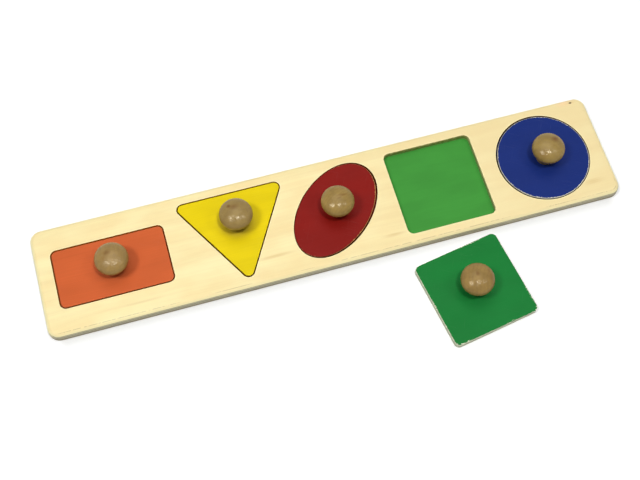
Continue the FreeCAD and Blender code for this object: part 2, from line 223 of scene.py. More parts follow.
plyLook = {"waver": 0.16, "waverSize": (9.0, 9.0, 9.0), "seam": (0.03, 0.12, 1.0, 0.0), "faceShare": 0.3,
           "patchSize": (3.0, 3.0, 3.0), "patches": (0.35, 0.6, 0.35, 1.0),
           "fibreSize": (0.5, 0.5, 0.16), "fibres": (0.3, 0.7)}


def makePlyEffect():
    look = plyLook
    tree, given, end = newEffect("plyLayers", {"Level": 0.5, "Plies": 5.0},
                                 ("Crossing", "Glue", "Fibres"))
    place = given["Place"]
    waver = times(tree, noiseAt(tree, place, look["waverSize"], 2.0), look["waver"])
    ply = calc(tree, "ADD", times(tree, given["Level"], given["Plies"]),
               calc(tree, "SUBTRACT", waver, look["waver"] / 2))
    # No glue line at the faces of the sheet
    ply = calc(tree, "MINIMUM", calc(tree, "MAXIMUM", ply, look["faceShare"]),
               calc(tree, "SUBTRACT", given["Plies"], look["faceShare"]))
    seam = calc(tree, "ABSOLUTE", calc(tree, "SUBTRACT", ply, calc(tree, "ROUND", ply)))
    patchy = fade(tree, noiseAt(tree, place, look["patchSize"], 2.0), *look["patches"])
    fibres = noiseAt(tree, place, look["fibreSize"], 3.0, 0.7)
    setInputs(tree, end, {
        "Crossing": calc(tree, "PINGPONG", calc(tree, "FLOOR", ply), 1.0),
        "Glue": times(tree, fade(tree, seam, *look["seam"]), patchy),
        "Fibres": fade(tree, fibres, *look["fibres"]),
    })
    return tree


wearLook = {"seedShift": (53.0, 1.0, 0.0), "stretchSize": (24.0, 24.0, 24.0),
            "stretches": (0.42, 0.6), "chips": (0.46, 0.66), "edge": (-0.06, 0.08, 1.0, 0.0),
            "rubbed": (0.0, 0.6, 1.0, 0.0), "leastReach": 0.2, "leastRubbed": 0.4}


# Where paint is gone: down the side, along the rubbed rim and in small chips
def makeWearEffect():
    look = wearLook
    tree, given, end = newEffect("edgeWear", {
        "Edge": 1.0, "Rim": -0.1, "Reach": 0.5, "Chip Size": 1.3, "Seed": 0.0,
    }, ("Bare", "Rubbed"))
    place = seededPlace(tree, given, look["seedShift"])
    chips = fade(tree, noiseAt(tree, place, given["Chip Size"], 2.0, 0.6), *look["chips"])
    stretches = fade(tree, noiseAt(tree, place, look["stretchSize"], 1.0), *look["stretches"])
    worn, rubbed = (calc(tree, "MULTIPLY_ADD", stretches, 1 - look[least], look[least])
                    for least in ("leastReach", "leastRubbed"))
    reach = times(tree, chips, given["Reach"], worn)
    over = calc(tree, "SUBTRACT", given["Edge"], calc(tree, "ADD", reach, given["Rim"]))
    setInputs(tree, end, {
        "Bare": fade(tree, over, *look["edge"]),
        "Rubbed": times(tree, fade(tree, over, *look["rubbed"]), rubbed),
    })
    return tree


# Scratches run two ways: a turn in radians, and the noise level where they start
marksLook = {"seedShift": (71.0, 1.0, 0.0), "scratchSize": (26.0, 0.3, 8.0),
             "scratchWays": ((0.5, 0.715), (2.0, 0.72)), "scratchFade": 0.05,
             "specksPerMm": 0.11, "specks": (0.02, 0.045, 1.0, 0.0),
             "smearSize": (30.0, 18.0, 18.0), "smears": (0.35, 0.7)}


# Marks of use: hairline scratches, specks and smears
def makeMarksEffect():
    look = marksLook
    tree, given, end = newEffect("handlingMarks", {"Seed": 0.0}, ("Scratches", "Specks", "Smears"))
    place = seededPlace(tree, given, look["seedShift"])
    ways = []
    for turn, level in look["scratchWays"]:
        turned = addNode(tree, "ShaderNodeVectorRotate", {"Vector": place, "Angle": turn},
                         rotation_type="Z_AXIS").outputs[0]
        noise = noiseAt(tree, turned, look["scratchSize"], 1.0)
        ways.append(fade(tree, noise, level, level + look["scratchFade"]))
    cells = addNode(tree, "ShaderNodeTexVoronoi", {"Vector": place, "Scale": look["specksPerMm"]})
    smears = noiseAt(tree, place, look["smearSize"])
    setInputs(tree, end, {
        "Scratches": calc(tree, "MAXIMUM", *ways),
        "Specks": fade(tree, cells.outputs["Distance"], *look["specks"]),
        "Smears": fade(tree, smears, *look["smears"]),
    })
    return tree


beechLook = {"seedShift": (43.0, 1.0, 0.0), "heightShare": 0.25, "sharpness": 2.2,
             "wobble": 3.4, "wobbleSize": (11.0, 11.0, 24.0), "fleckSize": (0.55, 0.3, 1.6),
             "flecks": (0.62, 0.74), "cloudSize": (9.0, 7.0, 14.0), "clouds": (0.34, 0.68),
             "fibreSize": (0.35, 0.35, 7.0)}


# Growth rings about a pith line beside the piece, with the flecks of beech
def makeBeechEffect():
    look = beechLook
    tree, given, end = newEffect("beechRings", {
        "Pith": (0.0, 0.0, 0.0), "Ring Width": 2.2, "Seed": 0.0,
    }, ("Rings", "Flecks", "Clouds", "Fibres"))
    offset = vectorCalc(tree, "SUBTRACT", given["Place"], given["Pith"])
    offset = vectorCalc(tree, "MULTIPLY", offset, (1.0, 1.0, look["heightShare"]))
    place = seededPlace(tree, given, look["seedShift"])
    wobble = times(tree, noiseAt(tree, place, look["wobbleSize"], 2.0), look["wobble"])
    radius = calc(tree, "ADD", vectorCalc(tree, "LENGTH", offset), wobble)
    turns = calc(tree, "DIVIDE", radius, given["Ring Width"])
    flecks = noiseAt(tree, place, look["fleckSize"], 1.0)
    clouds = noiseAt(tree, place, look["cloudSize"], 2.0)
    setInputs(tree, end, {
        "Rings": calc(tree, "POWER", calc(tree, "PINGPONG", turns, 1.0), look["sharpness"]),
        "Flecks": fade(tree, flecks, *look["flecks"]), "Clouds": fade(tree, clouds, *look["clouds"]),
        "Fibres": noiseAt(tree, place, look["fibreSize"], 3.0, 0.7),
    })
    return tree


woodGrain = makeGrainEffect()
plyLayers = makePlyEffect()
edgeWear = makeWearEffect()
handlingMarks = makeMarksEffect()
beechRings = makeBeechEffect()
print("shared effects made")


# A material with its shader, and its place on the piece in millimetres
def newMaterial(name, shine):
    material = bpy.data.materials.new(name)
    material.use_nodes = True
    tree = material.node_tree
    tree.nodes.clear()
    shader = addNode(tree, "ShaderNodeBsdfPrincipled", {"Specular IOR Level": shine})
    addNode(tree, "ShaderNodeOutputMaterial", {"Surface": shader.outputs[0]})
    place = addNode(tree, "ShaderNodeTexCoord").outputs["Object"]
    return material, tree, shader, vectorCalc(tree, "MULTIPLY", place, (1 / mm, 1 / mm, 1 / mm))


def readAttribute(tree, name):
    return addNode(tree, "ShaderNodeAttribute", attribute_name=name).outputs["Fac"]


# How far the surface faces +X, from -1 to 1
def facingAlong(tree):
    return splitVector(tree, addNode(tree, "ShaderNodeTexCoord").outputs["Normal"])["X"]


# How near a place is to a spot, 1 at its middle and 0 past its reach
def spotMask(tree, place, middle, reach):
    offset = vectorCalc(tree, "DIVIDE", vectorCalc(tree, "SUBTRACT", place, middle), reach)
    return fade(tree, vectorCalc(tree, "LENGTH", offset), 0.0, 1.0, 1.0, 0.0)


# Gives the shader its colour, its roughness and a relief of a depth in millimetres
def finishShader(tree, shader, skin, roughness, height, depth):
    bump = addNode(tree, "ShaderNodeBump", {"Height": height, "Distance": depth * mm, "Strength": 1.0})
    setInputs(tree, shader, {"Base Color": skin, "Roughness": roughness, "Normal": bump.outputs[0]})


sawnShares = {"fibres": 0.35, "crossing": 0.75, "glue": 0.6}


# The sawn edge of plywood, as a colour, with the group that it came from
def sawnColour(tree, place, level, plyCount, tones):
    layers = useEffect(tree, plyLayers, place, {"Level": level, "Plies": plyCount})
    sawn = tint(tree, tones["light"], layers["Fibres"], sawnShares["fibres"], tones["dark"])
    sawn = tint(tree, sawn, layers["Crossing"], sawnShares["crossing"], tones["dark"])
    return tint(tree, sawn, layers["Glue"], sawnShares["glue"], tones["glue"]), layers


# Lacquered face of the board, its rounded edge and its sawn sides
glueTone = colour(96, 80, 56)
boardLook = {
    "pale": colour(255, 241, 184), "warm": colour(251, 227, 166), "streak": colour(226, 198, 136),
    "tan": colour(240, 219, 164), "pink": colour(255, 214, 164), "scratchAndHighlight": colour(255, 244, 190),
    "knot": colour(96, 78, 44), "glue": glueTone,
    "sawn": {"light": colour(222, 214, 180), "dark": colour(150, 142, 114), "glue": glueTone},
    "grain": {"Line Length": 150.0, "Line Width": 1.3, "Cloud Size": 15.0, "Seed": 2.0},
    "figure": (("Clouds", 0.75, "warm"), ("Bands", 0.2, "streak"), ("Lines", 0.1, "streak"),
               ("Pores", 0.1, "glue")),
    "tanEnd": (-100.0, 200.0, 0.0, 0.6), "scratches": 0.16,
    "recessHighlight": (0.4, 1.6, 0.5, 0.0), "roundedHighlight": (0.2, 0.6, 0.0, 0.9),
    "lineStart": (0.1, 0.13), "lineEnd": (0.19, 0.23, 1.0, 0.0), "line": 0.3,
    "dashSize": (4.0, 7.0, 7.0), "dashes": (0.36, 0.52), "front": (-40.0, -34.0, 1.0, 0.0),
    "stretchSize": (48.0, 48.0, 48.0), "stretches": (0.4, 0.55),
    "faceVeneer": (0.63, 0.68, 1.0, 0.0), "sideTurn": (0.05, 0.1), "endLight": (0.5, 0.9, 0.0, 0.8),
    "roughness": 0.36, "sawnRoughness": 0.62, "smears": 0.08, "rimPolish": (0.1, 0.5, 0.0, 0.07),
    "shine": 0.25, "grainRelief": 0.5, "fibreRelief": 3.0, "relief": 0.02,
}
# The figure of this one sheet: places and reaches in millimetres on the board
knotPlace = (244.9, 46.1, 10.0)
knotReach = (2.1, 1.3, 30.0)
knotEdge = (0.1, 0.6)
blushPlace = (238.9, 50.1, 10.0)
figureSpots = (  # place, reach along and across, strength
    ((-56.0, -28.5, 10.0), (26.0, 2.6, 30.0), 0.5),
    ((-20.0, -36.0, 10.0), (22.0, 2.0, 30.0), 0.3),
    ((49.0, -37.0, 10.0), (15.0, 2.4, 30.0), 0.45),
    ((236.0, -35.0, 10.0), (15.0, 4.0, 30.0), 0.35),
    ((-178.0, -39.0, 10.0), (24.0, 1.6, 30.0), 0.3),
)
cornerSpots = (  # place, reach, share and tone
    (blushPlace, (13.0, 9.0, 30.0), 0.75, "pink"),
    (knotPlace, (8.0, 1.3, 30.0), 0.55, "streak"),
)


def makeBoardFinish():
    look = boardLook
    material, tree, shader, place = newMaterial("lacqueredPlywood", look["shine"])
    grain = useEffect(tree, woodGrain, place, look["grain"])
    marks = useEffect(tree, handlingMarks, place, {"Seed": 1.0})
    face = look["pale"]
    for mask, share, tone in look["figure"]:
        face = tint(tree, face, grain[mask], share, look[tone])
    # The sheet is a little darker and warmer towards its right end
    along, ahead, _ = splitVector(tree, place)
    face = mixColour(tree, fade(tree, along, *look["tanEnd"]), face, look["tan"])
    for middle, reach, strength in figureSpots:
        lined = calc(tree, "MULTIPLY_ADD", grain["Lines"], strength, strength)
        face = tint(tree, face, spotMask(tree, place, middle, reach), lined, look["streak"])
    for middle, reach, share, tone in cornerSpots:
        face = tint(tree, face, spotMask(tree, place, middle, reach), share, look[tone])
    knot = fade(tree, spotMask(tree, place, knotPlace, knotReach), *knotEdge)
    face = mixColour(tree, knot, face, look["knot"])
    face = tint(tree, face, marks["Scratches"], look["scratches"], look["scratchAndHighlight"])

    # Painted highlight: a pale line round the recesses, and a pale rounded edge
    turn = readAttribute(tree, "turn")
    for paler in (fade(tree, readAttribute(tree, "edge"), *look["recessHighlight"]),
                  fade(tree, turn, *look["roundedHighlight"])):
        face = mixColour(tree, paler, face, look["scratchAndHighlight"])

    # A faint broken line at the front, near the start of the rounded edge
    line = times(tree, fade(tree, turn, *look["lineStart"]), fade(tree, turn, *look["lineEnd"]))
    dashes = times(tree, fade(tree, noiseAt(tree, place, look["dashSize"], 3.0, 0.7), *look["dashes"]),
                   fade(tree, ahead, *look["front"]),
                   fade(tree, noiseAt(tree, place, look["stretchSize"], 1.0), *look["stretches"]))
    face = tint(tree, face, times(tree, line, dashes), look["line"], look["glue"])

    level = readAttribute(tree, "level")
    sawn, layers = sawnColour(tree, place, level, plies["frame"], look["sawn"])
    # Painted light: the sawn ends are lighter than the long sides
    ends = fade(tree, calc(tree, "ABSOLUTE", facingAlong(tree)), *look["endLight"])
    sawn = mixColour(tree, ends, sawn, look["scratchAndHighlight"])
    # The face veneer ends part of the way round the edge
    side = times(tree, fade(tree, level, *look["faceVeneer"]), fade(tree, turn, *look["sideTurn"]))
    gloss = calc(tree, "SUBTRACT",
                 calc(tree, "MULTIPLY_ADD", marks["Smears"], look["smears"], look["roughness"]),
                 fade(tree, turn, *look["rimPolish"]))
    height = calc(tree, "SUBTRACT", times(tree, grain["Lines"], look["grainRelief"]), grain["Pores"])
    height = mixValue(tree, side, height, times(tree, layers["Fibres"], look["fibreRelief"]))
    finishShader(tree, shader, mixColour(tree, side, face, sawn),
                 mixValue(tree, side, gloss, look["sawnRoughness"]), height, look["relief"])
    return material


# Bare plywood: undersides, the backing and its sides
bareLook = {
    "pale": colour(226, 204, 158), "warm": colour(207, 180, 132), "streak": colour(178, 148, 103),
    "sawn": {"light": colour(190, 182, 156), "dark": colour(150, 141, 116), "glue": glueTone},
    "grain": {"Line Length": 110.0, "Line Width": 1.6, "Cloud Size": 30.0, "Seed": 9.0},
    "lines": 0.35, "pores": 0.35, "roughness": 0.68, "shine": 0.1, "relief": 0.04,
}


def makeBareFinish():
    look = bareLook
    material, tree, shader, place = newMaterial("barePlywood", look["shine"])
    grain = useEffect(tree, woodGrain, place, look["grain"])
    face = mixColour(tree, grain["Clouds"], look["pale"], look["warm"])
    face = tint(tree, face, grain["Lines"], look["lines"], look["streak"])
    face = tint(tree, face, grain["Pores"], look["pores"], glueTone)
    sawn, layers = sawnColour(tree, place, readAttribute(tree, "level"), plies["backing"],
                              look["sawn"])
    side = readAttribute(tree, "turn")
    height = calc(tree, "ADD", grain["Lines"], times(tree, layers["Fibres"], side))
    finishShader(tree, shader, mixColour(tree, side, face, sawn), look["roughness"], height,
                 look["relief"])
    return material


# Paint on the shapes and on the floors of their recesses. Lean is how much more of the rim is
# worn towards one side. Side shade is how much the bare side below the rim is darkened, as
# painted shade in the gap of a seated shape; the bare tones of the seated rectangle and triangle
# are darker than the loose square's, for the same painted shade
paints = {
    "rectangle": {"shape": colour(209, 98, 50), "floor": colour(212, 104, 55), "slot": "orange_paint",
                  "rim": -0.2, "lean": (0.0, 0.0), "reach": 0.5,
                  "bare": colour(156, 96, 34), "sideShadeTone": colour(124, 66, 14), "sideShade": 0.95},
    "triangle": {"shape": colour(235, 209, 5), "floor": colour(228, 198, 20), "slot": "yellow_paint",
                 "rim": -0.2, "lean": (0.0, 0.0), "reach": 0.4,
                 "bare": colour(150, 108, 24), "sideShadeTone": colour(112, 78, 14), "sideShade": 0.95},
    "oval": {"shape": colour(134, 20, 13), "floor": colour(140, 30, 24), "slot": "red_paint",
             "rim": -0.1, "lean": (0.009, -0.002), "reach": 0.5,
             "bare": colour(214, 156, 90), "sideShadeTone": colour(110, 38, 12), "sideShade": 0.95},
    "square": {"shape": colour(20, 121, 50), "floor": colour(65, 148, 58), "slot": "green_paint",
               "rim": 0.0, "lean": (-0.004, -0.002), "reach": 1.2,
               "bare": colour(234, 237, 208), "sideShadeTone": colour(226, 228, 198), "sideShade": 0.0},
    "circle": {"shape": colour(22, 44, 115), "floor": colour(36, 54, 124), "slot": "blue_paint",
               "rim": 0.3, "lean": (0.002, -0.002), "reach": 0.5,
               "bare": colour(230, 226, 208), "sideShadeTone": colour(78, 60, 38), "sideShade": 0.95},
}
paintLook = {
    "grain": {"Line Length": 90.0, "Line Width": 0.9, "Cloud Size": 22.0},
    "deep": 0.94, "pale": 1.04, "lines": 0.14, "lineDepth": 0.7, "chipSize": 1.2,
    "scratches": 0.14, "specks": 0.2, "rubbed": 0.22, "rubbedShare": 0.75, "rubbedLift": 0.13,
    "sideShadeLevel": (0.78, 0.93), "sawnDark": 0.5, "sawnGlue": colour(100, 84, 56),
    "shine": 0.1, "roughness": 0.42, "smears": 0.1, "bareRoughness": 0.68,
    "grainRelief": 0.35, "scratchRelief": 0.5, "bareRelief": 2.0, "relief": 0.03,
}
floorLook = {
    "grain": {"Line Length": 60.0, "Line Width": 1.6, "Cloud Size": 15.0},
    "deep": 0.95, "pale": 1.05, "lines": 0.15, "lineDepth": 0.8, "roughness": 0.55, "relief": 0.02,
}
# Painted shade: the light paints are darker round the knobs, where the knobs shade them
paintedKnobShade = {"tone": colour(110, 86, 66), "reach": (21.0, 21.0, 300.0),
             "shares": {"rectangle": 0.3, "triangle": 0.9}}


# A coat of paint over grain that still shows a little
def paintCoat(tree, base, look, grain):
    coat = mixColour(tree, grain["Clouds"], dimmed(base, look["deep"]), dimmed(base, look["pale"]))
    return tint(tree, coat, grain["Lines"], look["lines"], dimmed(base, look["lineDepth"]))


# Satin paint, worn away along the rim
def makeShapeFinish(shape, middle):
    look, own, seed = paintLook, paints[shape], seedOf("shape", shape)
    material, tree, shader, place = newMaterial(f"{shape}Paint", look["shine"])
    grain = useEffect(tree, woodGrain, place, {**look["grain"], "Seed": seed})
    marks = useEffect(tree, handlingMarks, place, {"Seed": seed})
    paint = paintCoat(tree, own["shape"], look, grain)
    rubbedTone = (*(look["rubbedShare"] * level + look["rubbedLift"] for level in own["shape"][:3]), 1.0)
    paint = tint(tree, paint, marks["Scratches"], look["scratches"], rubbedTone)
    paint = tint(tree, paint, marks["Specks"], look["specks"], rubbedTone)
    offset = vectorCalc(tree, "SUBTRACT", place, (*middle, 0.0))
    lean = vectorCalc(tree, "DOT_PRODUCT", offset, (*own["lean"], 0.0))
    wear = useEffect(tree, edgeWear, place, {
        "Edge": readAttribute(tree, "edge"), "Chip Size": look["chipSize"], "Seed": seed,
        "Rim": calc(tree, "ADD", lean, own["rim"]), "Reach": own["reach"],
    })
    paint = tint(tree, paint, wear["Rubbed"], look["rubbed"], rubbedTone)
    # Painted shade round the foot of the knob
    if shape in paintedKnobShade["shares"]:
        grimeAndShade = spotMask(tree, place, tuple(knobPlaces[shape]), paintedKnobShade["reach"])
        paint = tint(tree, paint, grimeAndShade, paintedKnobShade["shares"][shape], paintedKnobShade["tone"])
    level = readAttribute(tree, "level")
    sawn, layers = sawnColour(tree, place, level, plies["shape"], {
        "light": own["bare"], "dark": dimmed(own["bare"], look["sawnDark"]), "glue": look["sawnGlue"]})
    # Painted shade: the bare side of a seated shape is darker below the rim
    sideShade = fade(tree, level, *look["sideShadeLevel"], own["sideShade"], 0.0)
    sawn = mixColour(tree, sideShade, sawn, own["sideShadeTone"])
    gloss = calc(tree, "MULTIPLY_ADD", marks["Smears"], look["smears"], look["roughness"])
    height = calc(tree, "SUBTRACT", times(tree, grain["Lines"], look["grainRelief"]),
                  times(tree, marks["Scratches"], look["scratchRelief"]))
    height = calc(tree, "SUBTRACT", height, times(tree, wear["Bare"], look["bareRelief"]))
    finishShader(tree, shader, mixColour(tree, wear["Bare"], paint, sawn),
                 mixValue(tree, wear["Bare"], gloss, look["bareRoughness"]), height, look["relief"])
    return material


def makeFloorFinish(shape):
    look = floorLook
    material, tree, shader, place = newMaterial(f"{shape}RecessPaint", paintLook["shine"])
    grain = useEffect(tree, woodGrain, place, {**look["grain"], "Seed": seedOf("floor", shape)})
    finishShader(tree, shader, paintCoat(tree, paints[shape]["floor"], look, grain),
                 look["roughness"], grain["Lines"], look["relief"])
    return material


# The walls of the recesses: browned by the cutter, with paint run up from the floor. Round the
# filled recesses the walls are darker, most tinted towards their shape's paint, as painted shade
# and painted reflection in the narrow gaps
wallTonesAndShade = {
    "rectangle": {"light": colour(226, 142, 36), "dark": colour(188, 104, 22),
                  "glue": colour(140, 76, 14)},
    "triangle": {"light": colour(190, 140, 30), "dark": colour(150, 104, 20),
                 "glue": colour(110, 72, 12)},
    "oval": {"light": colour(136, 58, 20), "dark": colour(92, 36, 10), "glue": colour(60, 24, 8)},
    "square": {"light": colour(242, 224, 162), "dark": colour(200, 172, 112),
               "glue": colour(150, 110, 60)},
    "circle": {"light": colour(96, 74, 50), "dark": colour(62, 44, 26), "glue": colour(40, 28, 14)},
}
# Line is how high the paint ran up the wall, as shares of its height, and cover how well it hides
wallLook = {
    "empty": {"line": (0.42, 0.68), "cover": 0.6, "charAndShade": 0.06},
    "filled": {"line": (0.02, 0.12), "cover": 0.92, "charAndShade": 0.5},
    "seedShift": 61.0, "streakSize": (1.6, 1.6, 14.0), "streaks": (0.4, 0.6), "streakShare": 0.6,
    "charLevel": (0.82, 0.96), "charred": colour(112, 62, 10),
    "cleanAndLit": colour(240, 222, 170), "litFacing": (-0.98, -0.7, 0.85, 0.0),
    "lineSize": (5.0, 5.0, 60.0), "lineNoise": (0.3, 0.7), "paintEdge": (-0.07, 0.05),
    "shine": 0.03, "roughness": 0.7, "relief": 0.04,
}


def makeWallFinish(shape):
    look, tones = wallLook, wallTonesAndShade[shape]
    own = look["empty" if shape == looseShape else "filled"]
    material, tree, shader, place = newMaterial(f"{shape}RecessWall", look["shine"])
    level = readAttribute(tree, "level")
    sawn, layers = sawnColour(tree, place, level, plies["frame"], tones)
    seeded = vectorCalc(tree, "ADD", place, (seedOf("wall", shape) * look["seedShift"], 0.0, 0.0))
    streaks = fade(tree, noiseAt(tree, seeded, look["streakSize"], 3.0, 0.7), *look["streaks"])
    sawn = tint(tree, sawn, streaks, look["streakShare"], tones["dark"])
    if shape == looseShape:  # painted light: the wall that faces -X is paler than the others, where more light falls on it
        sawn = mixColour(tree, fade(tree, facingAlong(tree), *look["litFacing"]), sawn, look["cleanAndLit"])
    # Painted shade: the walls of filled recesses take far more of the charred tone than the empty one's
    charAndShade = fade(tree, level, *look["charLevel"], 0.0, own["charAndShade"])
    sawn = mixColour(tree, charAndShade, sawn, look["charred"])
    line = fade(tree, noiseAt(tree, seeded, look["lineSize"], 3.0, 0.6), *look["lineNoise"], *own["line"])
    painted = fade(tree, calc(tree, "SUBTRACT", level, line), *look["paintEdge"], own["cover"], 0.0)
    finishShader(tree, shader, mixColour(tree, painted, sawn, paints[shape]["floor"]),
                 look["roughness"], calc(tree, "ADD", streaks, layers["Fibres"]), look["relief"])
    return material


# Oiled beech: each knob is cut from another place in the wood. Spots have a place, a reach in
# millimetres along and across, and a share
knobWood = {
    "rectangle": {"light": colour(158, 126, 67), "dark": colour(128, 101, 56), "pith": (-56.0, 8.0, 50.0),
                  "ring": 1.9, "ringShare": 0.25, "roughness": 0.2, "shine": 0.44, "relief": 0.2,
                  "spots": (((-2.2, 3.0), (5.2, 4.0), 0.75), ((-6.0, -1.5), (3.0, 4.5), 0.35))},
    "triangle": {"light": colour(154, 128, 68), "dark": colour(125, 102, 58), "pith": (-24.0, 30.0, 40.0),
                 "ring": 4.2, "ringShare": 0.2, "roughness": 0.16, "shine": 0.38, "relief": 0.15,
                 "spots": (((-4.8, 5.6), (2.8, 2.6), 1.0), ((-0.6, 3.4), (6.0, 4.0), 0.65))},
    "oval": {"light": colour(158, 129, 66), "dark": colour(120, 96, 48), "pith": (31.0, -55.0, 40.0),
             "ring": 1.3, "ringShare": 0.28, "roughness": 0.17, "shine": 0.33, "relief": 0.08,
             "spots": (((4.6, 1.2), (7.4, 2.0), 0.6), ((1.0, -1.0), (3.6, 1.2), 0.4))},
    "square": {"light": colour(156, 126, 68), "dark": colour(118, 94, 53), "pith": (54.0, -22.0, 40.0),
               "ring": 1.6, "ringShare": 0.22, "roughness": 0.19, "shine": 0.26, "relief": 0.12,
               "spots": (((-0.6, 2.2), (2.4, 3.6), 0.75), ((10.5, -1.0), (4.6, 12.0), 0.25))},
    "circle": {"light": colour(155, 129, 66), "dark": colour(122, 99, 52), "pith": (-20.0, -26.0, 50.0),
               "ring": 3.2, "ringShare": 0.2, "roughness": 0.17, "shine": 0.38, "relief": 0.15,
               "spots": (((6.4, 4.0), (5.4, 4.6), 1.0), ((-8.0, -7.0), (8.0, 7.0), 0.3))},
}
knobLook = {
    "shineTint": (1.0, 0.9, 0.7, 1.0), "clouds": 0.45, "fleck": colour(96, 68, 38), "flecks": 0.55,
    "spot": colour(112, 70, 18), "spotHeight": 20.0, "spotDepth": 30.0,
    "fibre": colour(190, 160, 105), "fibres": 0.1, "gloss": 0.04, "dents": (1.2, 1.7, 3.0),
    "fibreRelief": 0.2,
}


def makeKnobFinish(shape, middle):
    look, wood, seed = knobLook, knobWood[shape], seedOf("knob", shape)
    material, tree, shader, place = newMaterial(f"{shape}Beech", wood["shine"])
    shader.inputs["Specular Tint"].default_value = look["shineTint"]
    own = vectorCalc(tree, "SUBTRACT", place, tuple(middle))
    rings = useEffect(tree, beechRings, own, {"Pith": wood["pith"], "Ring Width": wood["ring"],
                                              "Seed": seed})
    skin = tint(tree, wood["light"], rings["Rings"], wood["ringShare"], wood["dark"])
    skin = tint(tree, skin, rings["Clouds"], look["clouds"], wood["dark"])
    skin = tint(tree, skin, rings["Flecks"], look["flecks"], look["fleck"])
    for spotPlace, reach, share in wood["spots"]:
        spot = spotMask(tree, own, (*spotPlace, look["spotHeight"]), (*reach, look["spotDepth"]))
        skin = tint(tree, skin, spot, share, look["spot"])
    skin = tint(tree, skin, rings["Fibres"], look["fibres"], look["fibre"])
    gloss = calc(tree, "MULTIPLY_ADD", rings["Clouds"], look["gloss"], wood["roughness"])
    # Small flats and dents break up the highlights
    dents = noiseAt(tree, vectorCalc(tree, "ADD", own, (seed, 0.0, 0.0)), look["dents"], 2.0)
    fibred = calc(tree, "SUBTRACT", rings["Fibres"], rings["Flecks"])
    height = calc(tree, "MULTIPLY_ADD", fibred, look["fibreRelief"], dents)
    finishShader(tree, shader, skin, gloss, height, wood["relief"])
    return material


steelLook = {"cleanAndLit": colour(206, 206, 202), "dull": colour(168, 165, 158), "roughness": (0.26, 0.46),
             "grimeSize": (1.4, 1.4, 1.4), "grimeAndShade": (0.3, 0.7), "grainSize": (0.12, 0.12, 0.12),
             "shine": 0.5, "relief": 0.01}


def makeSteelFinish():
    look = steelLook
    material, tree, shader, place = newMaterial("zincSteel", look["shine"])
    shader.inputs["Metallic"].default_value = 1.0
    grimeAndShade = fade(tree, noiseAt(tree, place, look["grimeSize"]), *look["grimeAndShade"])
    finishShader(tree, shader, mixColour(tree, grimeAndShade, look["cleanAndLit"], look["dull"]),
                 fade(tree, grimeAndShade, 0.0, 1.0, *look["roughness"]),
                 noiseAt(tree, place, look["grainSize"], 2.0), look["relief"])
    return material


boardFinish = makeBoardFinish()
bareFinish = makeBareFinish()
steelFinish = makeSteelFinish()
print("finishes of the board made")


# Outlines in millimetres: each gives its points, anticlockwise, for any inset from its edge

def roundedOutline(middles, radius, sideSteps=10, cornerSteps=10):
    count = len(middles)
    corners = [Vector(middle) for middle in middles]

    def outline(inset):
        arcs = []
        for i in range(count):
            before = corners[i] - corners[i - 1]
            after = corners[(i + 1) % count] - corners[i]
            start = math.atan2(-before.x, before.y)
            sweep = (math.atan2(-after.x, after.y) - start) % math.tau
            angles = [start + sweep * step / cornerSteps for step in range(cornerSteps + 1)]
            arcs.append([corners[i] + (radius - inset) * Vector((math.cos(angle), math.sin(angle)))
                         for angle in angles])
        points = []
        for i in range(count):
            points += arcs[i]
            first, last = arcs[i][-1], arcs[(i + 1) % count][0]
            points += [first.lerp(last, step / sideSteps) for step in range(1, sideSteps)]
        return points
    return outline


def boxOutline(length, width, corner, sideSteps=10):
    across, up = length / 2 - corner, width / 2 - corner
    return roundedOutline(((-across, -up), (across, -up), (across, up), (-across, up)),
                          corner, sideSteps)


def triangleOutline(side, corner, clearance):
    inner = side / (2 * math.sqrt(3)) - corner
    return roundedOutline(((0.0, -2 * inner), (math.sqrt(3) * inner, inner),
                           (-math.sqrt(3) * inner, inner)), corner - clearance)


def ellipseOutline(halfLength, halfWidth, steps):
    def outline(inset):
        points = []
        for i in range(steps):
            angle = math.tau * i / steps
            outward = Vector((halfWidth * math.cos(angle), halfLength * math.sin(angle))).normalized()
            edge = Vector((halfLength * math.cos(angle), halfWidth * math.sin(angle)))
            points.append(edge - inset * outward)
        return points
    return outline


def discOutline(radius, steps):
    return ellipseOutline(radius, radius, steps)


# The same outline, turned and moved to its place in the row
def placedOutline(outline, place, turn=0.0):
    cosine, sine = math.cos(math.radians(turn)), math.sin(math.radians(turn))

    def moved(inset):
        return [(place[0] + x * cosine - y * sine, place[1] + x * sine + y * cosine)
                for x, y in outline(inset)]
    return moved


# Slid shares are how far a shape lies from the middle of its recess, in clearances
shapeSizes = {
    "clearance": 0.8, "corner": 5.5, "roundSteps": 150, "looseTurn": 9.7,
    "rectangle": {"length": 99.5, "width": 54.8, "slidShares": (0.0, 0.0), "turn": 0.0,
                  "knobShift": (1.6, 0.0)},
    "triangle": {"side": 101.5, "slidShares": (0.2, 0.2), "turn": 0.0, "knobShift": (1.6, 0.0)},
    "oval": {"length": 100.0, "width": 62.5, "slidShares": (-0.5, 0.4), "turn": 44.5,
             "knobShift": (1.6, 0.0)},
    "square": {"length": 81.1, "width": 81.1, "slidShares": (0.0, 0.0), "turn": 0.0,
               "knobShift": (0.0, 2.25)},
    "circle": {"diameter": 84.5, "slidShares": (0.5, -0.1), "turn": 0.0, "knobShift": (1.6, 0.0)},
}


def shapeOutline(shape, clearance):
    sizes, corner = shapeSizes[shape], shapeSizes["corner"]
    if shape == "triangle":
        return triangleOutline(sizes["side"], corner, clearance)
    if shape == "circle":
        return discOutline(sizes["diameter"] / 2 - clearance, shapeSizes["roundSteps"])
    if shape == "oval":
        return ellipseOutline(sizes["length"] / 2 - clearance, sizes["width"] / 2 - clearance,
                              shapeSizes["roundSteps"])
    return boxOutline(sizes["length"] - 2 * clearance, sizes["width"] - 2 * clearance,
                      corner - clearance)


# The middle of a node's box, in millimetres
def middleOf(node):
    low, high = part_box(node)
    return (low + high) / 2 / mm


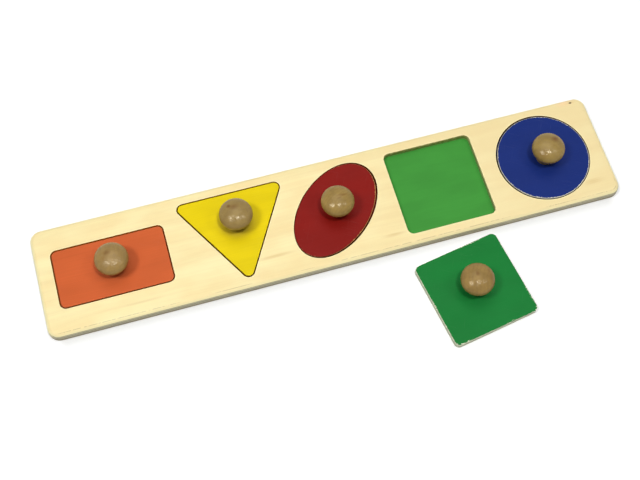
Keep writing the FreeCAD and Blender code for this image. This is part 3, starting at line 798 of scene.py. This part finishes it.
knobPlaces = {shape: middleOf(f"{shape}_knob") for shape in shapeNames}


# The knobs stand a little beside the middles of their shapes
def insertPlace(shape):
    shiftX, shiftY = shapeSizes[shape]["knobShift"]
    return (knobPlaces[shape].x - shiftX, knobPlaces[shape].y - shiftY)


def recessPlace(shape):
    x, y = insertPlace(shape)
    if shape == looseShape:
        return (x, insertPlace("rectangle")[1])
    shareX, shareY = shapeSizes[shape]["slidShares"]
    return (x - shareX * shapeSizes["clearance"], y - shareY * shapeSizes["clearance"])


def recessOutline(shape):
    return placedOutline(shapeOutline(shape, 0.0), recessPlace(shape), shapeSizes[shape]["turn"])


# Shells: points in millimetres with what the materials read from them, and their faces. Edge is
# the distance to a rim, and turn is 1 on an outer side and 0 on a level face

farEdge = 9.0  # an edge value past all wear
sharpAngles = {"sheet": 38.0, "turned": 35.0}
pointTolerance = 1e-6


def newShell(node):
    low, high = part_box(node)
    return {"points": [], "faces": [], "finish": [], "edge": [], "turn": [],
            "low": low.z / mm, "high": high.z / mm}


def addLoop(shell, outline, inset, height, edge, turn):
    first = len(shell["points"])
    for x, y in outline(inset):
        shell["points"].append((x, y, height))
        shell["edge"].append(edge)
        shell["turn"].append(turn)
    return list(range(first, len(shell["points"])))


# Joins loops along a profile of inset, height, edge and turn, and gives its first and last loop
def sweepProfile(shell, outline, profile, finish):
    loops = [addLoop(shell, outline, *step) for step in profile]
    for lower, upper in zip(loops, loops[1:]):
        count = len(lower)
        for i in range(count):
            after = (i + 1) % count
            shell["faces"].append((lower[i], lower[after], upper[after], upper[i]))
            shell["finish"].append(finish)
    return loops[0], loops[-1]


# Fills the level space between an outer loop and its holes, whose loops are convex
def fillLevel(shell, loops, finish, facesUp):
    ring = [index for loop in loops for index in loop]
    owner = [i for i, loop in enumerate(loops) for _ in loop]
    flat = [Vector(shell["points"][index][:2]) for index in ring]
    edges = []
    for loop in loops:
        start = len(edges)
        edges += [(start + i, start + (i + 1) % len(loop)) for i in range(len(loop))]
    _, _, faces, origins, *_ = delaunay_2d_cdt(flat, edges, [], 1, pointTolerance)
    for corners in faces:
        sources = [origins[corner][0] for corner in corners]
        owners = {owner[source] for source in sources}
        if len(owners) == 1 and owners != {0}:
            continue  # this one lies in a hole
        face = [ring[source] for source in sources]
        a, b, c = (Vector(shell["points"][index]) for index in face[:3])
        if ((b - a).cross(c - a).z > 0) != facesUp:
            face.reverse()
        shell["faces"].append(tuple(face))
        shell["finish"].append(finish)


def addObject(name, data):
    made = bpy.data.objects.new(name, data)
    bpy.context.scene.collection.objects.link(made)
    return made


def makePiece(shell, name, finishes):
    mesh = bpy.data.meshes.new(name)
    mesh.from_pydata([[c * mm for c in point] for point in shell["points"]], [], shell["faces"])
    thickness = shell["high"] - shell["low"]
    levels = [(point[2] - shell["low"]) / thickness for point in shell["points"]]
    for key, values in (("edge", shell["edge"]), ("turn", shell["turn"]), ("level", levels)):
        attribute = mesh.attributes.new(key, "FLOAT", "POINT")
        attribute.data.foreach_set("value", values)
    for finish in finishes:
        mesh.materials.append(finish)
    for polygon, finish in zip(mesh.polygons, shell["finish"]):
        polygon.material_index = finish
        polygon.use_smooth = True
    mesh.update()
    mesh.set_sharp_from_angle(angle=math.radians(sharpAngles["sheet"]))
    piece = addObject(name, mesh)
    normals = piece.modifiers.new("evenNormals", "WEIGHTED_NORMAL")
    normals.keep_sharp = True
    return piece


# A quarter round between a side and a level face: inset, height and how far round it is
def quarterRound(radius, cornerHeight, steps, upper=True):
    profile = []
    for step in range(steps + 1):
        angle = math.pi / 2 * step / steps
        inset = radius * (1 - math.cos(angle))
        short = radius * (1 - math.sin(angle))
        profile.append((inset, cornerHeight - short if upper else cornerHeight + short, step / steps))
    return profile if upper else profile[::-1]


# A sawn side whose plies stand out and back by a hair
def pliedSide(low, high, bottom, top, count):
    profile = []
    thickness = (top - bottom) / count
    for ply in range(count):
        start = max(low, bottom + ply * thickness)
        end = min(high, bottom + (ply + 1) * thickness)
        if end - start > 4 * plyRelief:  # too thin a rest is left out
            inset = plyRelief * (ply % 2)
            profile += [(inset, start + plyRelief), (inset, end - plyRelief)]
    return profile


# The board: frame with five cut-outs on a plain backing

plyRelief = 0.04
boardSizes = {"corner": 10.0, "roundover": 4.0, "arris": 0.8, "recessArris": 0.3, "arrisShare": 0.3,
              "sideSteps": 24, "roundSteps": 12, "arrisSteps": 6, "rimRings": (2.1, 1.1, 0.6, 0.3),
              "capRing": 0.35}


def boardOutline(node):
    low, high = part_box(node)
    length, width = (high.x - low.x) / mm, (high.y - low.y) / mm
    return boxOutline(length, width, boardSizes["corner"], boardSizes["sideSteps"])


def makeFrameBoard(wallFinishes):
    shell = newShell("frame_board")
    sizes = boardSizes
    low, high = shell["low"], shell["high"]
    profile = [(plyRelief, low, farEdge, 1.0)]
    profile += [(inset, height, farEdge, 1.0) for inset, height in pliedSide(
        low, high - sizes["roundover"], low, high, plies["frame"])]
    profile += [(inset, height, farEdge, 1 - share) for inset, height, share in quarterRound(
        sizes["roundover"], high, sizes["roundSteps"])]
    profile.append((sizes["roundover"] + sizes["capRing"], high, farEdge, 0.0))
    outerLow, outerHigh = sweepProfile(shell, boardOutline("frame_board"), profile, 0)
    topLoops, bottomLoops = [outerHigh], [outerLow]
    arris, midShare = sizes["recessArris"], sizes["arrisShare"]
    for i, shape in enumerate(shapeNames):
        recess = recessOutline(shape)
        top, edge = sweepProfile(shell, recess, [
            (-ring, high, ring, 0.0) for ring in sizes["rimRings"]], 0)
        wall = [(-arris, high), (-arris * midShare, high - arris * midShare), (0.0, high - arris)]
        wall += [(-inset, height) for inset, height in reversed(pliedSide(
            low, high - arris, low, high, plies["frame"]))]
        wall.append((0.0, low))
        wallTop, wallLow = sweepProfile(shell, recess, [(*step, 0.0, 0.0) for step in wall], 1 + i)
        weldLoops(shell, edge, wallTop)
        topLoops.append(top)
        bottomLoops.append(wallLow)
    fillLevel(shell, topLoops, 0, True)
    fillLevel(shell, bottomLoops, 1, False)
    piece = makePiece(dropUnused(shell), "frameBoard", (boardFinish, *wallFinishes))
    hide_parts("frame_board")
    return piece


# Makes faces that use the second loop use the first one instead
def weldLoops(shell, kept, dropped):
    swap = dict(zip(dropped, kept))
    shell["faces"] = [tuple(swap.get(index, index) for index in face) for face in shell["faces"]]


def dropUnused(shell):
    used = sorted({index for face in shell["faces"] for index in face})
    renumbered = {old: new for new, old in enumerate(used)}
    for key in ("points", "edge", "turn"):
        shell[key] = [shell[key][old] for old in used]
    shell["faces"] = [tuple(renumbered[index] for index in face) for face in shell["faces"]]
    return shell


def makeBackingBoard(floorFinishes):
    shell = newShell("backing_board")
    sizes = boardSizes
    low, high = shell["low"], shell["high"]
    profile = [(sizes["arris"] + sizes["capRing"], low, 0.0, 0.0)]
    profile += [(inset, height, 0.0, 1 - share) for inset, height, share in quarterRound(
        sizes["arris"], low, sizes["arrisSteps"], upper=False)]
    profile += [(inset, height, 0.0, 1.0) for inset, height in pliedSide(
        low + sizes["arris"], high, low, high, plies["backing"])]
    profile.append((plyRelief, high, 0.0, 1.0))
    outerLow, outerHigh = sweepProfile(shell, boardOutline("backing_board"), profile, 0)
    topLoops = [outerHigh]
    for i, shape in enumerate(shapeNames):
        loop = addLoop(shell, recessOutline(shape), 0.0, high, 0.0, 0.0)
        fillLevel(shell, [loop], 1 + i, True)
        topLoops.append(loop)
    fillLevel(shell, topLoops, 0, True)
    fillLevel(shell, [outerLow], 0, False)
    piece = makePiece(shell, "backingBoard", (bareFinish, *floorFinishes))
    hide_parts("backing_board")
    return piece


wallFinishes = [makeWallFinish(shape) for shape in shapeNames]
floorFinishes = [makeFloorFinish(shape) for shape in shapeNames]
for piece in (makeFrameBoard(wallFinishes), makeBackingBoard(floorFinishes)):
    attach(piece, "board")
print("board made")


# The five loose shapes, with the countersunk hole of their screw

insertSizes = {"arris": 0.5, "arrisSteps": {"low": 5, "high": 6}, "lowRing": 0.3,
               "capRings": (0.8, 1.4, 2.4), "holeRadius": 2.0, "sinkRadius": 4.1, "holeSteps": 56}


def makeInsert(shape):
    node = f"{shape}_insert"
    shell = newShell(node)
    sizes = insertSizes
    low, high, arris = shell["low"], shell["high"], sizes["arris"]
    turn = shapeSizes["looseTurn"] if shape == looseShape else shapeSizes[shape]["turn"]
    middle = insertPlace(shape)
    outline = placedOutline(shapeOutline(shape, shapeSizes["clearance"]), middle, turn)

    # The edge value is the distance over the rim, below zero down the side
    halfRim = arris * math.pi / 4
    profile = [(arris + sizes["lowRing"], low, -farEdge, 0.0)]
    profile += [(inset, height, -farEdge, 1 - share) for inset, height, share in quarterRound(
        arris, low, sizes["arrisSteps"]["low"], upper=False)]
    profile += [(inset, height, -halfRim, 1.0) for inset, height in pliedSide(
        low + arris, high - arris, low, high, plies["shape"])]
    profile += [(inset, height, (2 * share - 1) * halfRim, 1 - share)
                for inset, height, share in quarterRound(arris, high, sizes["arrisSteps"]["high"])]
    profile += [(ring, high, halfRim + ring - arris, 0.0) for ring in sizes["capRings"]]
    outerLow, outerHigh = sweepProfile(shell, outline, profile, 0)
    hole = placedOutline(discOutline(sizes["holeRadius"], sizes["holeSteps"]), knobPlaces[shape])
    depth = sizes["sinkRadius"] - sizes["holeRadius"]
    holeTop, holeLow = sweepProfile(shell, hole, [
        (0.0, high, farEdge, 0.0), (0.0, low + depth, -farEdge, 1.0), (-depth, low, -farEdge, 0.0),
    ], 1)
    fillLevel(shell, [outerHigh, holeTop], 0, True)
    fillLevel(shell, [outerLow, holeLow], 1, False)
    piece = makePiece(shell, f"{shape}Insert", (makeShapeFinish(shape, middle), bareFinish))
    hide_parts(node)
    return piece


for shape in shapeNames:
    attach(makeInsert(shape), f"{shape}_piece")
print("shapes made")


# Turned knobs and screws: a profile of lines and arcs, revolved by geometry nodes

turnedSizes = {"merge": 0.002, "neckSteps": 16, "beltSteps": 24, "crownSteps": 12,
               "threadSteps": 60, "pointSteps": 16, "barePointShare": 0.2}


# A size in a node tree, plain or from a socket, so that sums of sizes read as sums
class Amount:
    def __init__(self, tree, socket):
        self.tree, self.socket = tree, socket

    def combined(self, operation, other):
        value = other.socket if isinstance(other, Amount) else other
        return Amount(self.tree, calc(self.tree, operation, self.socket, value))

    def __add__(self, other):
        return self.combined("ADD", other)

    def __sub__(self, other):
        return self.combined("SUBTRACT", other)

    def __mul__(self, other):
        return self.combined("MULTIPLY", other)

    def __truediv__(self, other):
        return self.combined("DIVIDE", other)

    def towards(self, other):
        return self.combined("ARCTAN2", other)


def pointAt(tree, across, up):
    return joinVector(tree, across.socket, up.socket, 0.0)


def lineBetween(tree, start, end):
    return addNode(tree, "GeometryNodeCurvePrimitiveLine", {
        "Start": pointAt(tree, *start), "End": pointAt(tree, *end)}).outputs[0]


def arcAbout(tree, middle, radius, start, sweep, steps):
    arc = addNode(tree, "GeometryNodeCurveArc", {
        "Resolution": steps, "Radius": radius.socket, "Start Angle": start.socket,
        "Sweep Angle": sweep.socket}, mode="RADIUS").outputs[0]
    return addNode(tree, "GeometryNodeTransform", {
        "Geometry": arc, "Translation": pointAt(tree, *middle)}).outputs[0]


# Turns the joined profile about the upright axis; a thread swells the rows between two heights
def revolveProfile(tree, stretches, sides, thread=None):
    join = addNode(tree, "GeometryNodeJoinGeometry")
    for stretch in reversed(stretches):  # the last link comes first
        tree.links.new(stretch, join.inputs[0])
    line = addNode(tree, "GeometryNodeCurveToMesh", {"Curve": join.outputs[0]}).outputs[0]
    count = addNode(tree, "GeometryNodeAttributeDomainSize", {"Geometry": line}).outputs["Point Count"]
    grid = addNode(tree, "GeometryNodeMeshGrid", {
        "Vertices X": calc(tree, "ADD", sides, 1.0), "Vertices Y": count}).outputs["Mesh"]
    index = addNode(tree, "GeometryNodeInputIndex").outputs[0]
    row = calc(tree, "MODULO", index, count)
    column = calc(tree, "FLOOR", calc(tree, "DIVIDE", index, count))
    position = addNode(tree, "GeometryNodeInputPosition").outputs[0]
    sample = addNode(tree, "GeometryNodeSampleIndex", {
        "Geometry": line, "Index": row}, data_type="FLOAT_VECTOR", domain="POINT")
    tree.links.new(position, sample.inputs["Value"])
    parts = splitVector(tree, sample.outputs[0])
    turns = calc(tree, "DIVIDE", column, sides)
    angle = times(tree, turns, math.tau)
    radius = addThread(tree, parts["X"], parts["Y"], turns, thread) if thread else parts["X"]
    place = joinVector(tree, times(tree, radius, calc(tree, "COSINE", angle)),
                       times(tree, radius, calc(tree, "SINE", angle)), parts["Y"])
    moved = addNode(tree, "GeometryNodeSetPosition", {"Geometry": grid, "Position": place}).outputs[0]
    return addNode(tree, "GeometryNodeMergeByDistance", {
        "Geometry": moved, "Distance": turnedSizes["merge"] * mm}).outputs[0]


def addThread(tree, radius, height, turns, thread):
    pitches = calc(tree, "SUBTRACT", calc(tree, "DIVIDE", height, thread["pitch"]), turns)
    ridge = calc(tree, "POWER", calc(tree, "PINGPONG", times(tree, pitches, 2.0), 1.0), 2.0)
    rises = [addNode(tree, "ShaderNodeMapRange", {
        "Value": height, "From Min": thread[end],
        "From Max": calc(tree, operation, thread[end], thread["pitch"])}).outputs[0]
        for end, operation in (("start", "ADD"), ("end", "SUBTRACT"))]
    return calc(tree, "ADD", radius, times(tree, *rises, thread["depth"], ridge))


# Ends a tree: smooth faces, turned and moved to its place, real geometry with its material
def endTree(tree, end, geometry, given):
    smooth = addNode(tree, "GeometryNodeSetShadeSmooth", {"Geometry": geometry}).outputs[0]
    placed = addNode(tree, "GeometryNodeTransform", {
        "Geometry": smooth, "Rotation": joinVector(tree, 0.0, 0.0, given["Spin"]),
        "Translation": given["Place"]}).outputs[0]
    realized = addNode(tree, "GeometryNodeRealizeInstances", {"Geometry": placed}).outputs[0]
    finished = addNode(tree, "GeometryNodeSetMaterial", {
        "Geometry": realized, "Material": given["Finish"]}).outputs[0]
    tree.links.new(finished, end.inputs[0])


commonInputs = [("Sides", "Int", 64), ("Spin", "Float", 0.0), ("Place", "Vector", None),
                ("Finish", "Material", None)]


def makeKnobTree():
    names = ("Foot Radius", "Foot Height", "Belt Radius", "Belt Height", "Knob Radius", "Knob Height",
             "Pilot Radius", "Pilot Depth")
    tree, given, end = newTree("turnedKnob", "GeometryNodeTree",
                               [(name, "Float", 1.0) for name in names] + commonInputs,
                               [("Geometry", "Geometry")])
    foot, footHigh, belt, beltHigh, knob, top, pilot, deep = (
        Amount(tree, given[name]) for name in names)
    nothing, halfTurn = Amount(tree, 0.0), Amount(tree, math.pi)

    # The neck's and the crown's radii follow from the tangents to the belt
    beltOut = knob - belt
    rise = beltHigh - footHigh
    reach = foot - beltOut
    neck = (reach * reach + rise * rise - belt * belt) / ((knob - foot) * 2.0)
    crownRise = top - beltHigh - belt
    drop = (beltOut * beltOut - crownRise * crownRise) / (crownRise * 2.0)
    crownHigh = beltHigh - drop
    under = (footHigh - beltHigh).towards(foot + neck - beltOut)
    over = drop.towards(beltOut)
    solid = revolveProfile(tree, [
        lineBetween(tree, (nothing, deep), (pilot, deep)),
        lineBetween(tree, (pilot, deep), (pilot, nothing)),
        lineBetween(tree, (pilot, nothing), (foot, nothing)),
        lineBetween(tree, (foot, nothing), (foot, footHigh)),
        arcAbout(tree, (foot + neck, footHigh), neck, halfTurn, under, turnedSizes["neckSteps"]),
        arcAbout(tree, (beltOut, beltHigh), belt, under, over - under, turnedSizes["beltSteps"]),
        arcAbout(tree, (nothing, crownHigh), top - crownHigh, over, halfTurn / 2.0 - over,
                 turnedSizes["crownSteps"]),
    ], given["Sides"])
    endTree(tree, end, solid, given)
    return tree


def makeScrewTree():
    names = ("Head Radius", "Head Rim", "Shank Radius", "Shank End", "Core Radius", "Length", "Point",
             "Thread Depth", "Thread Pitch", "Cross Span", "Cross Width", "Cross Depth")
    tree, given, end = newTree("woodScrew", "GeometryNodeTree",
                               [(name, "Float", 1.0) for name in names] + commonInputs,
                               [("Geometry", "Geometry")])
    head, rim, shank, shankEnd, core, length, point = (
        Amount(tree, given[name]) for name in names[:7])
    nothing = Amount(tree, 0.0)
    tip = (core, length - point)
    threaded = [addNode(tree, "GeometryNodeResampleCurve", {
        "Curve": lineBetween(tree, start, stop), "Count": turnedSizes[steps]}).outputs[0]
        for start, stop, steps in (((core, shankEnd), tip, "threadSteps"),
                                   (tip, (nothing, length), "pointSteps"))]
    solid = revolveProfile(tree, [
        lineBetween(tree, (nothing, nothing), (head, nothing)),
        lineBetween(tree, (head, nothing), (head, rim)),
        lineBetween(tree, (head, rim), (shank, rim + head - shank)),
        lineBetween(tree, (shank, rim + head - shank), (shank, shankEnd)),
        lineBetween(tree, (shank, shankEnd), (core, shankEnd)), *threaded,
    ], given["Sides"], {
        "start": given["Shank End"], "end": (length - point * turnedSizes["barePointShare"]).socket,
        "depth": given["Thread Depth"], "pitch": given["Thread Pitch"],
    })
    deep = times(tree, given["Cross Depth"], 2.0)
    cut = addNode(tree, "GeometryNodeMeshBoolean", {0: solid}, operation="DIFFERENCE", solver="EXACT")
    span, width = given["Cross Span"], given["Cross Width"]
    for size in ((span, width), (width, span)):
        arm = addNode(tree, "GeometryNodeMeshCube", {"Size": joinVector(tree, *size, deep)})
        tree.links.new(arm.outputs["Mesh"], cut.inputs[1])
    endTree(tree, end, cut.outputs["Mesh"], given)
    return tree


# Runs a tree with its sizes and keeps the result as a plain mesh
def runTree(name, tree, values):
    piece = addObject(name, bpy.data.meshes.new(name))
    modifier = piece.modifiers.new("shape", "NODES")
    modifier.node_group = tree
    for item in tree.interface.items_tree:
        if item.in_out == "INPUT" and item.name in values:
            modifier[item.identifier] = values[item.name]
    bpy.context.view_layer.update()
    depsgraph = bpy.context.evaluated_depsgraph_get()
    mesh = bpy.data.meshes.new_from_object(piece.evaluated_get(depsgraph))
    piece.modifiers.remove(modifier)
    piece.data = mesh
    mesh.set_sharp_from_angle(angle=math.radians(sharpAngles["turned"]))
    return piece


knobSides, screwSides = 72, 28
knobSizes = {"Foot Radius": 8.5, "Foot Height": 2.0, "Belt Radius": 6.5, "Belt Height": 15.5,
             "Pilot Radius": 1.4, "Pilot Depth": 13.0}
knobSpins = {"rectangle": 0.3, "triangle": 1.1, "oval": 2.0, "square": 0.7, "circle": 1.6}
screwSizes = {"Head Radius": 3.5, "Head Rim": 0.3, "Shank Radius": 1.75, "Shank End": 5.7,
              "Core Radius": 1.4, "Point": 3.0, "Thread Depth": 0.4, "Thread Pitch": 1.5,
              "Cross Span": 3.8, "Cross Width": 0.9, "Cross Depth": 1.4}
knobTree = makeKnobTree()
screwTree = makeScrewTree()


def scaled(sizes):
    return {name: value * mm for name, value in sizes.items()}


for shape in shapeNames:
    low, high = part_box(f"{shape}_knob")
    place = Vector(((low.x + high.x) / 2, (low.y + high.y) / 2, low.z))
    values = scaled(knobSizes)
    values.update({"Knob Radius": (high.x - low.x) / 2, "Knob Height": high.z - low.z,
                   "Sides": knobSides, "Spin": knobSpins[shape], "Place": place,
                   "Finish": makeKnobFinish(shape, place / mm)})
    knob = runTree(f"{shape}Knob", knobTree, values)
    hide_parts(f"{shape}_knob")
    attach(knob, f"{shape}_piece")

    low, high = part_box(f"{shape}_screw")
    values = scaled(screwSizes)
    values.update({"Length": high.z - low.z, "Sides": screwSides, "Finish": steelFinish,
                   "Place": Vector((place.x, place.y, low.z))})
    screw = runTree(f"{shape}Screw", screwTree, values)
    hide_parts(f"{shape}_screw")
    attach(screw, f"{shape}_piece")
print("knobs and screws made")


# Table, light and camera

# The table is pale, and a painted glow makes it white but for the soft shadow in front of the
# board. Glow and beyond are ranges in metres from the board
stageLook = {"radius": 7.0, "sides": 96, "drop": 0.00003, "colour": (0.885, 0.89, 0.885, 1.0),
             "glow": (0.0, 0.011, 0.02, 0.19), "beyond": (0.2, 0.7),
             "shadowShift": (0.0, -0.003, 0.0), "shadowInset": 0.014}


# 1 for what the camera sees straight, or in metal and glass
def seenMask(tree):
    path = addNode(tree, "ShaderNodeLightPath").outputs
    return calc(tree, "MAXIMUM", path["Is Camera Ray"],
                calc(tree, "MAXIMUM", path["Is Glossy Ray"], path["Is Transmission Ray"]))


def makeTable():
    look = stageLook
    bpy.ops.mesh.primitive_circle_add(vertices=look["sides"], radius=look["radius"],
                                      fill_type="NGON", location=(0.0, 0.0, -look["drop"]))
    table = bpy.context.object
    table.name = "table"
    material = bpy.data.materials.new("paleTable")
    material.use_nodes = True
    tree = material.node_tree
    tree.nodes.clear()
    diffuse = addNode(tree, "ShaderNodeBsdfDiffuse", {"Color": look["colour"]})
    place = addNode(tree, "ShaderNodeTexCoord").outputs["Object"]
    place = vectorCalc(tree, "ABSOLUTE", vectorCalc(tree, "SUBTRACT", place, look["shadowShift"]))
    board = (cadBox[1][0] - look["shadowInset"], cadBox[1][1], 1.0)
    away = vectorCalc(tree, "MAXIMUM", vectorCalc(tree, "SUBTRACT", place, board))
    away = vectorCalc(tree, "LENGTH", away)
    # Far off, where the lamps fade, the table stays white in low views
    strength = calc(tree, "MAXIMUM", fade(tree, away, *look["glow"]), fade(tree, away, *look["beyond"]))
    glow = addNode(tree, "ShaderNodeEmission", {"Strength": times(tree, seenMask(tree), strength)})
    both = addNode(tree, "ShaderNodeAddShader", {0: diffuse.outputs[0], 1: glow.outputs[0]})
    addNode(tree, "ShaderNodeOutputMaterial", {"Surface": both.outputs[0]})
    table.data.materials.append(material)


# Each lamp: tilt from straight above towards +X and +Y in degrees, size across in metres, and
# its share of the light on a level surface
lamps = {
    "overhead": {"tilt": (5.0, -13.0), "size": 0.24, "share": 0.33},
    "left": {"tilt": (-26.8, -5.5), "size": 0.56, "share": 0.32},
    "right": {"tilt": (31.0, -14.0), "size": 0.5, "share": 0.09},
    "soft": {"tilt": (2.9, 17.4), "size": 2.2, "share": 0.26},
}
lampDistance = 2.5
lampAim = Vector((0.0, -0.03, 0.01))
worldLook = {"colour": (0.98, 0.99, 1.0, 1.0), "share": 0.02}
cameraSizes = {"sensor": 36.0, "lens": 62.545, "clip": (0.05, 30.0),
               "place": (-0.13173, -0.39345, 0.89625), "turn": (23.584, -0.706, -15.936)}


def addLamp(name, settings):
    tiltX, tiltY = (math.tan(math.radians(angle)) for angle in settings["tilt"])
    direction = Vector((tiltX, tiltY, 1.0)).normalized()
    data = bpy.data.lights.new(name, "AREA")
    data.shape = "DISK"
    data.size = settings["size"]
    spread = lampDistance ** 2 + settings["size"] ** 2 / 4
    data.energy = settings["share"] * math.pi ** 2 * spread / direction.z
    lamp = addObject(name, data)
    lamp.location = lampAim + direction * lampDistance
    lamp.rotation_euler = direction.to_track_quat("Z", "Y").to_euler()


def makeWorld():
    world = bpy.data.worlds.new("studio")
    bpy.context.scene.world = world
    world.use_nodes = True
    tree = world.node_tree
    tree.nodes.clear()
    background = addNode(tree, "ShaderNodeBackground", {
        "Color": worldLook["colour"],
        "Strength": mixValue(tree, seenMask(tree), worldLook["share"], 1.0)})
    addNode(tree, "ShaderNodeOutputWorld", {"Surface": background.outputs[0]})


def makeCamera():
    data = bpy.data.cameras.new("camera")
    data.sensor_width, data.lens = cameraSizes["sensor"], cameraSizes["lens"]
    data.clip_start, data.clip_end = cameraSizes["clip"]
    camera = addObject("camera", data)
    camera.location = cameraSizes["place"]
    camera.rotation_euler = Euler([math.radians(angle) for angle in cameraSizes["turn"]])
    bpy.context.scene.camera = camera


makeTable()
for lampName, lampSettings in lamps.items():
    addLamp(lampName, lampSettings)
makeWorld()
makeCamera()
bpy.context.scene.view_settings.view_transform = "Standard"
print("table, light and camera made")
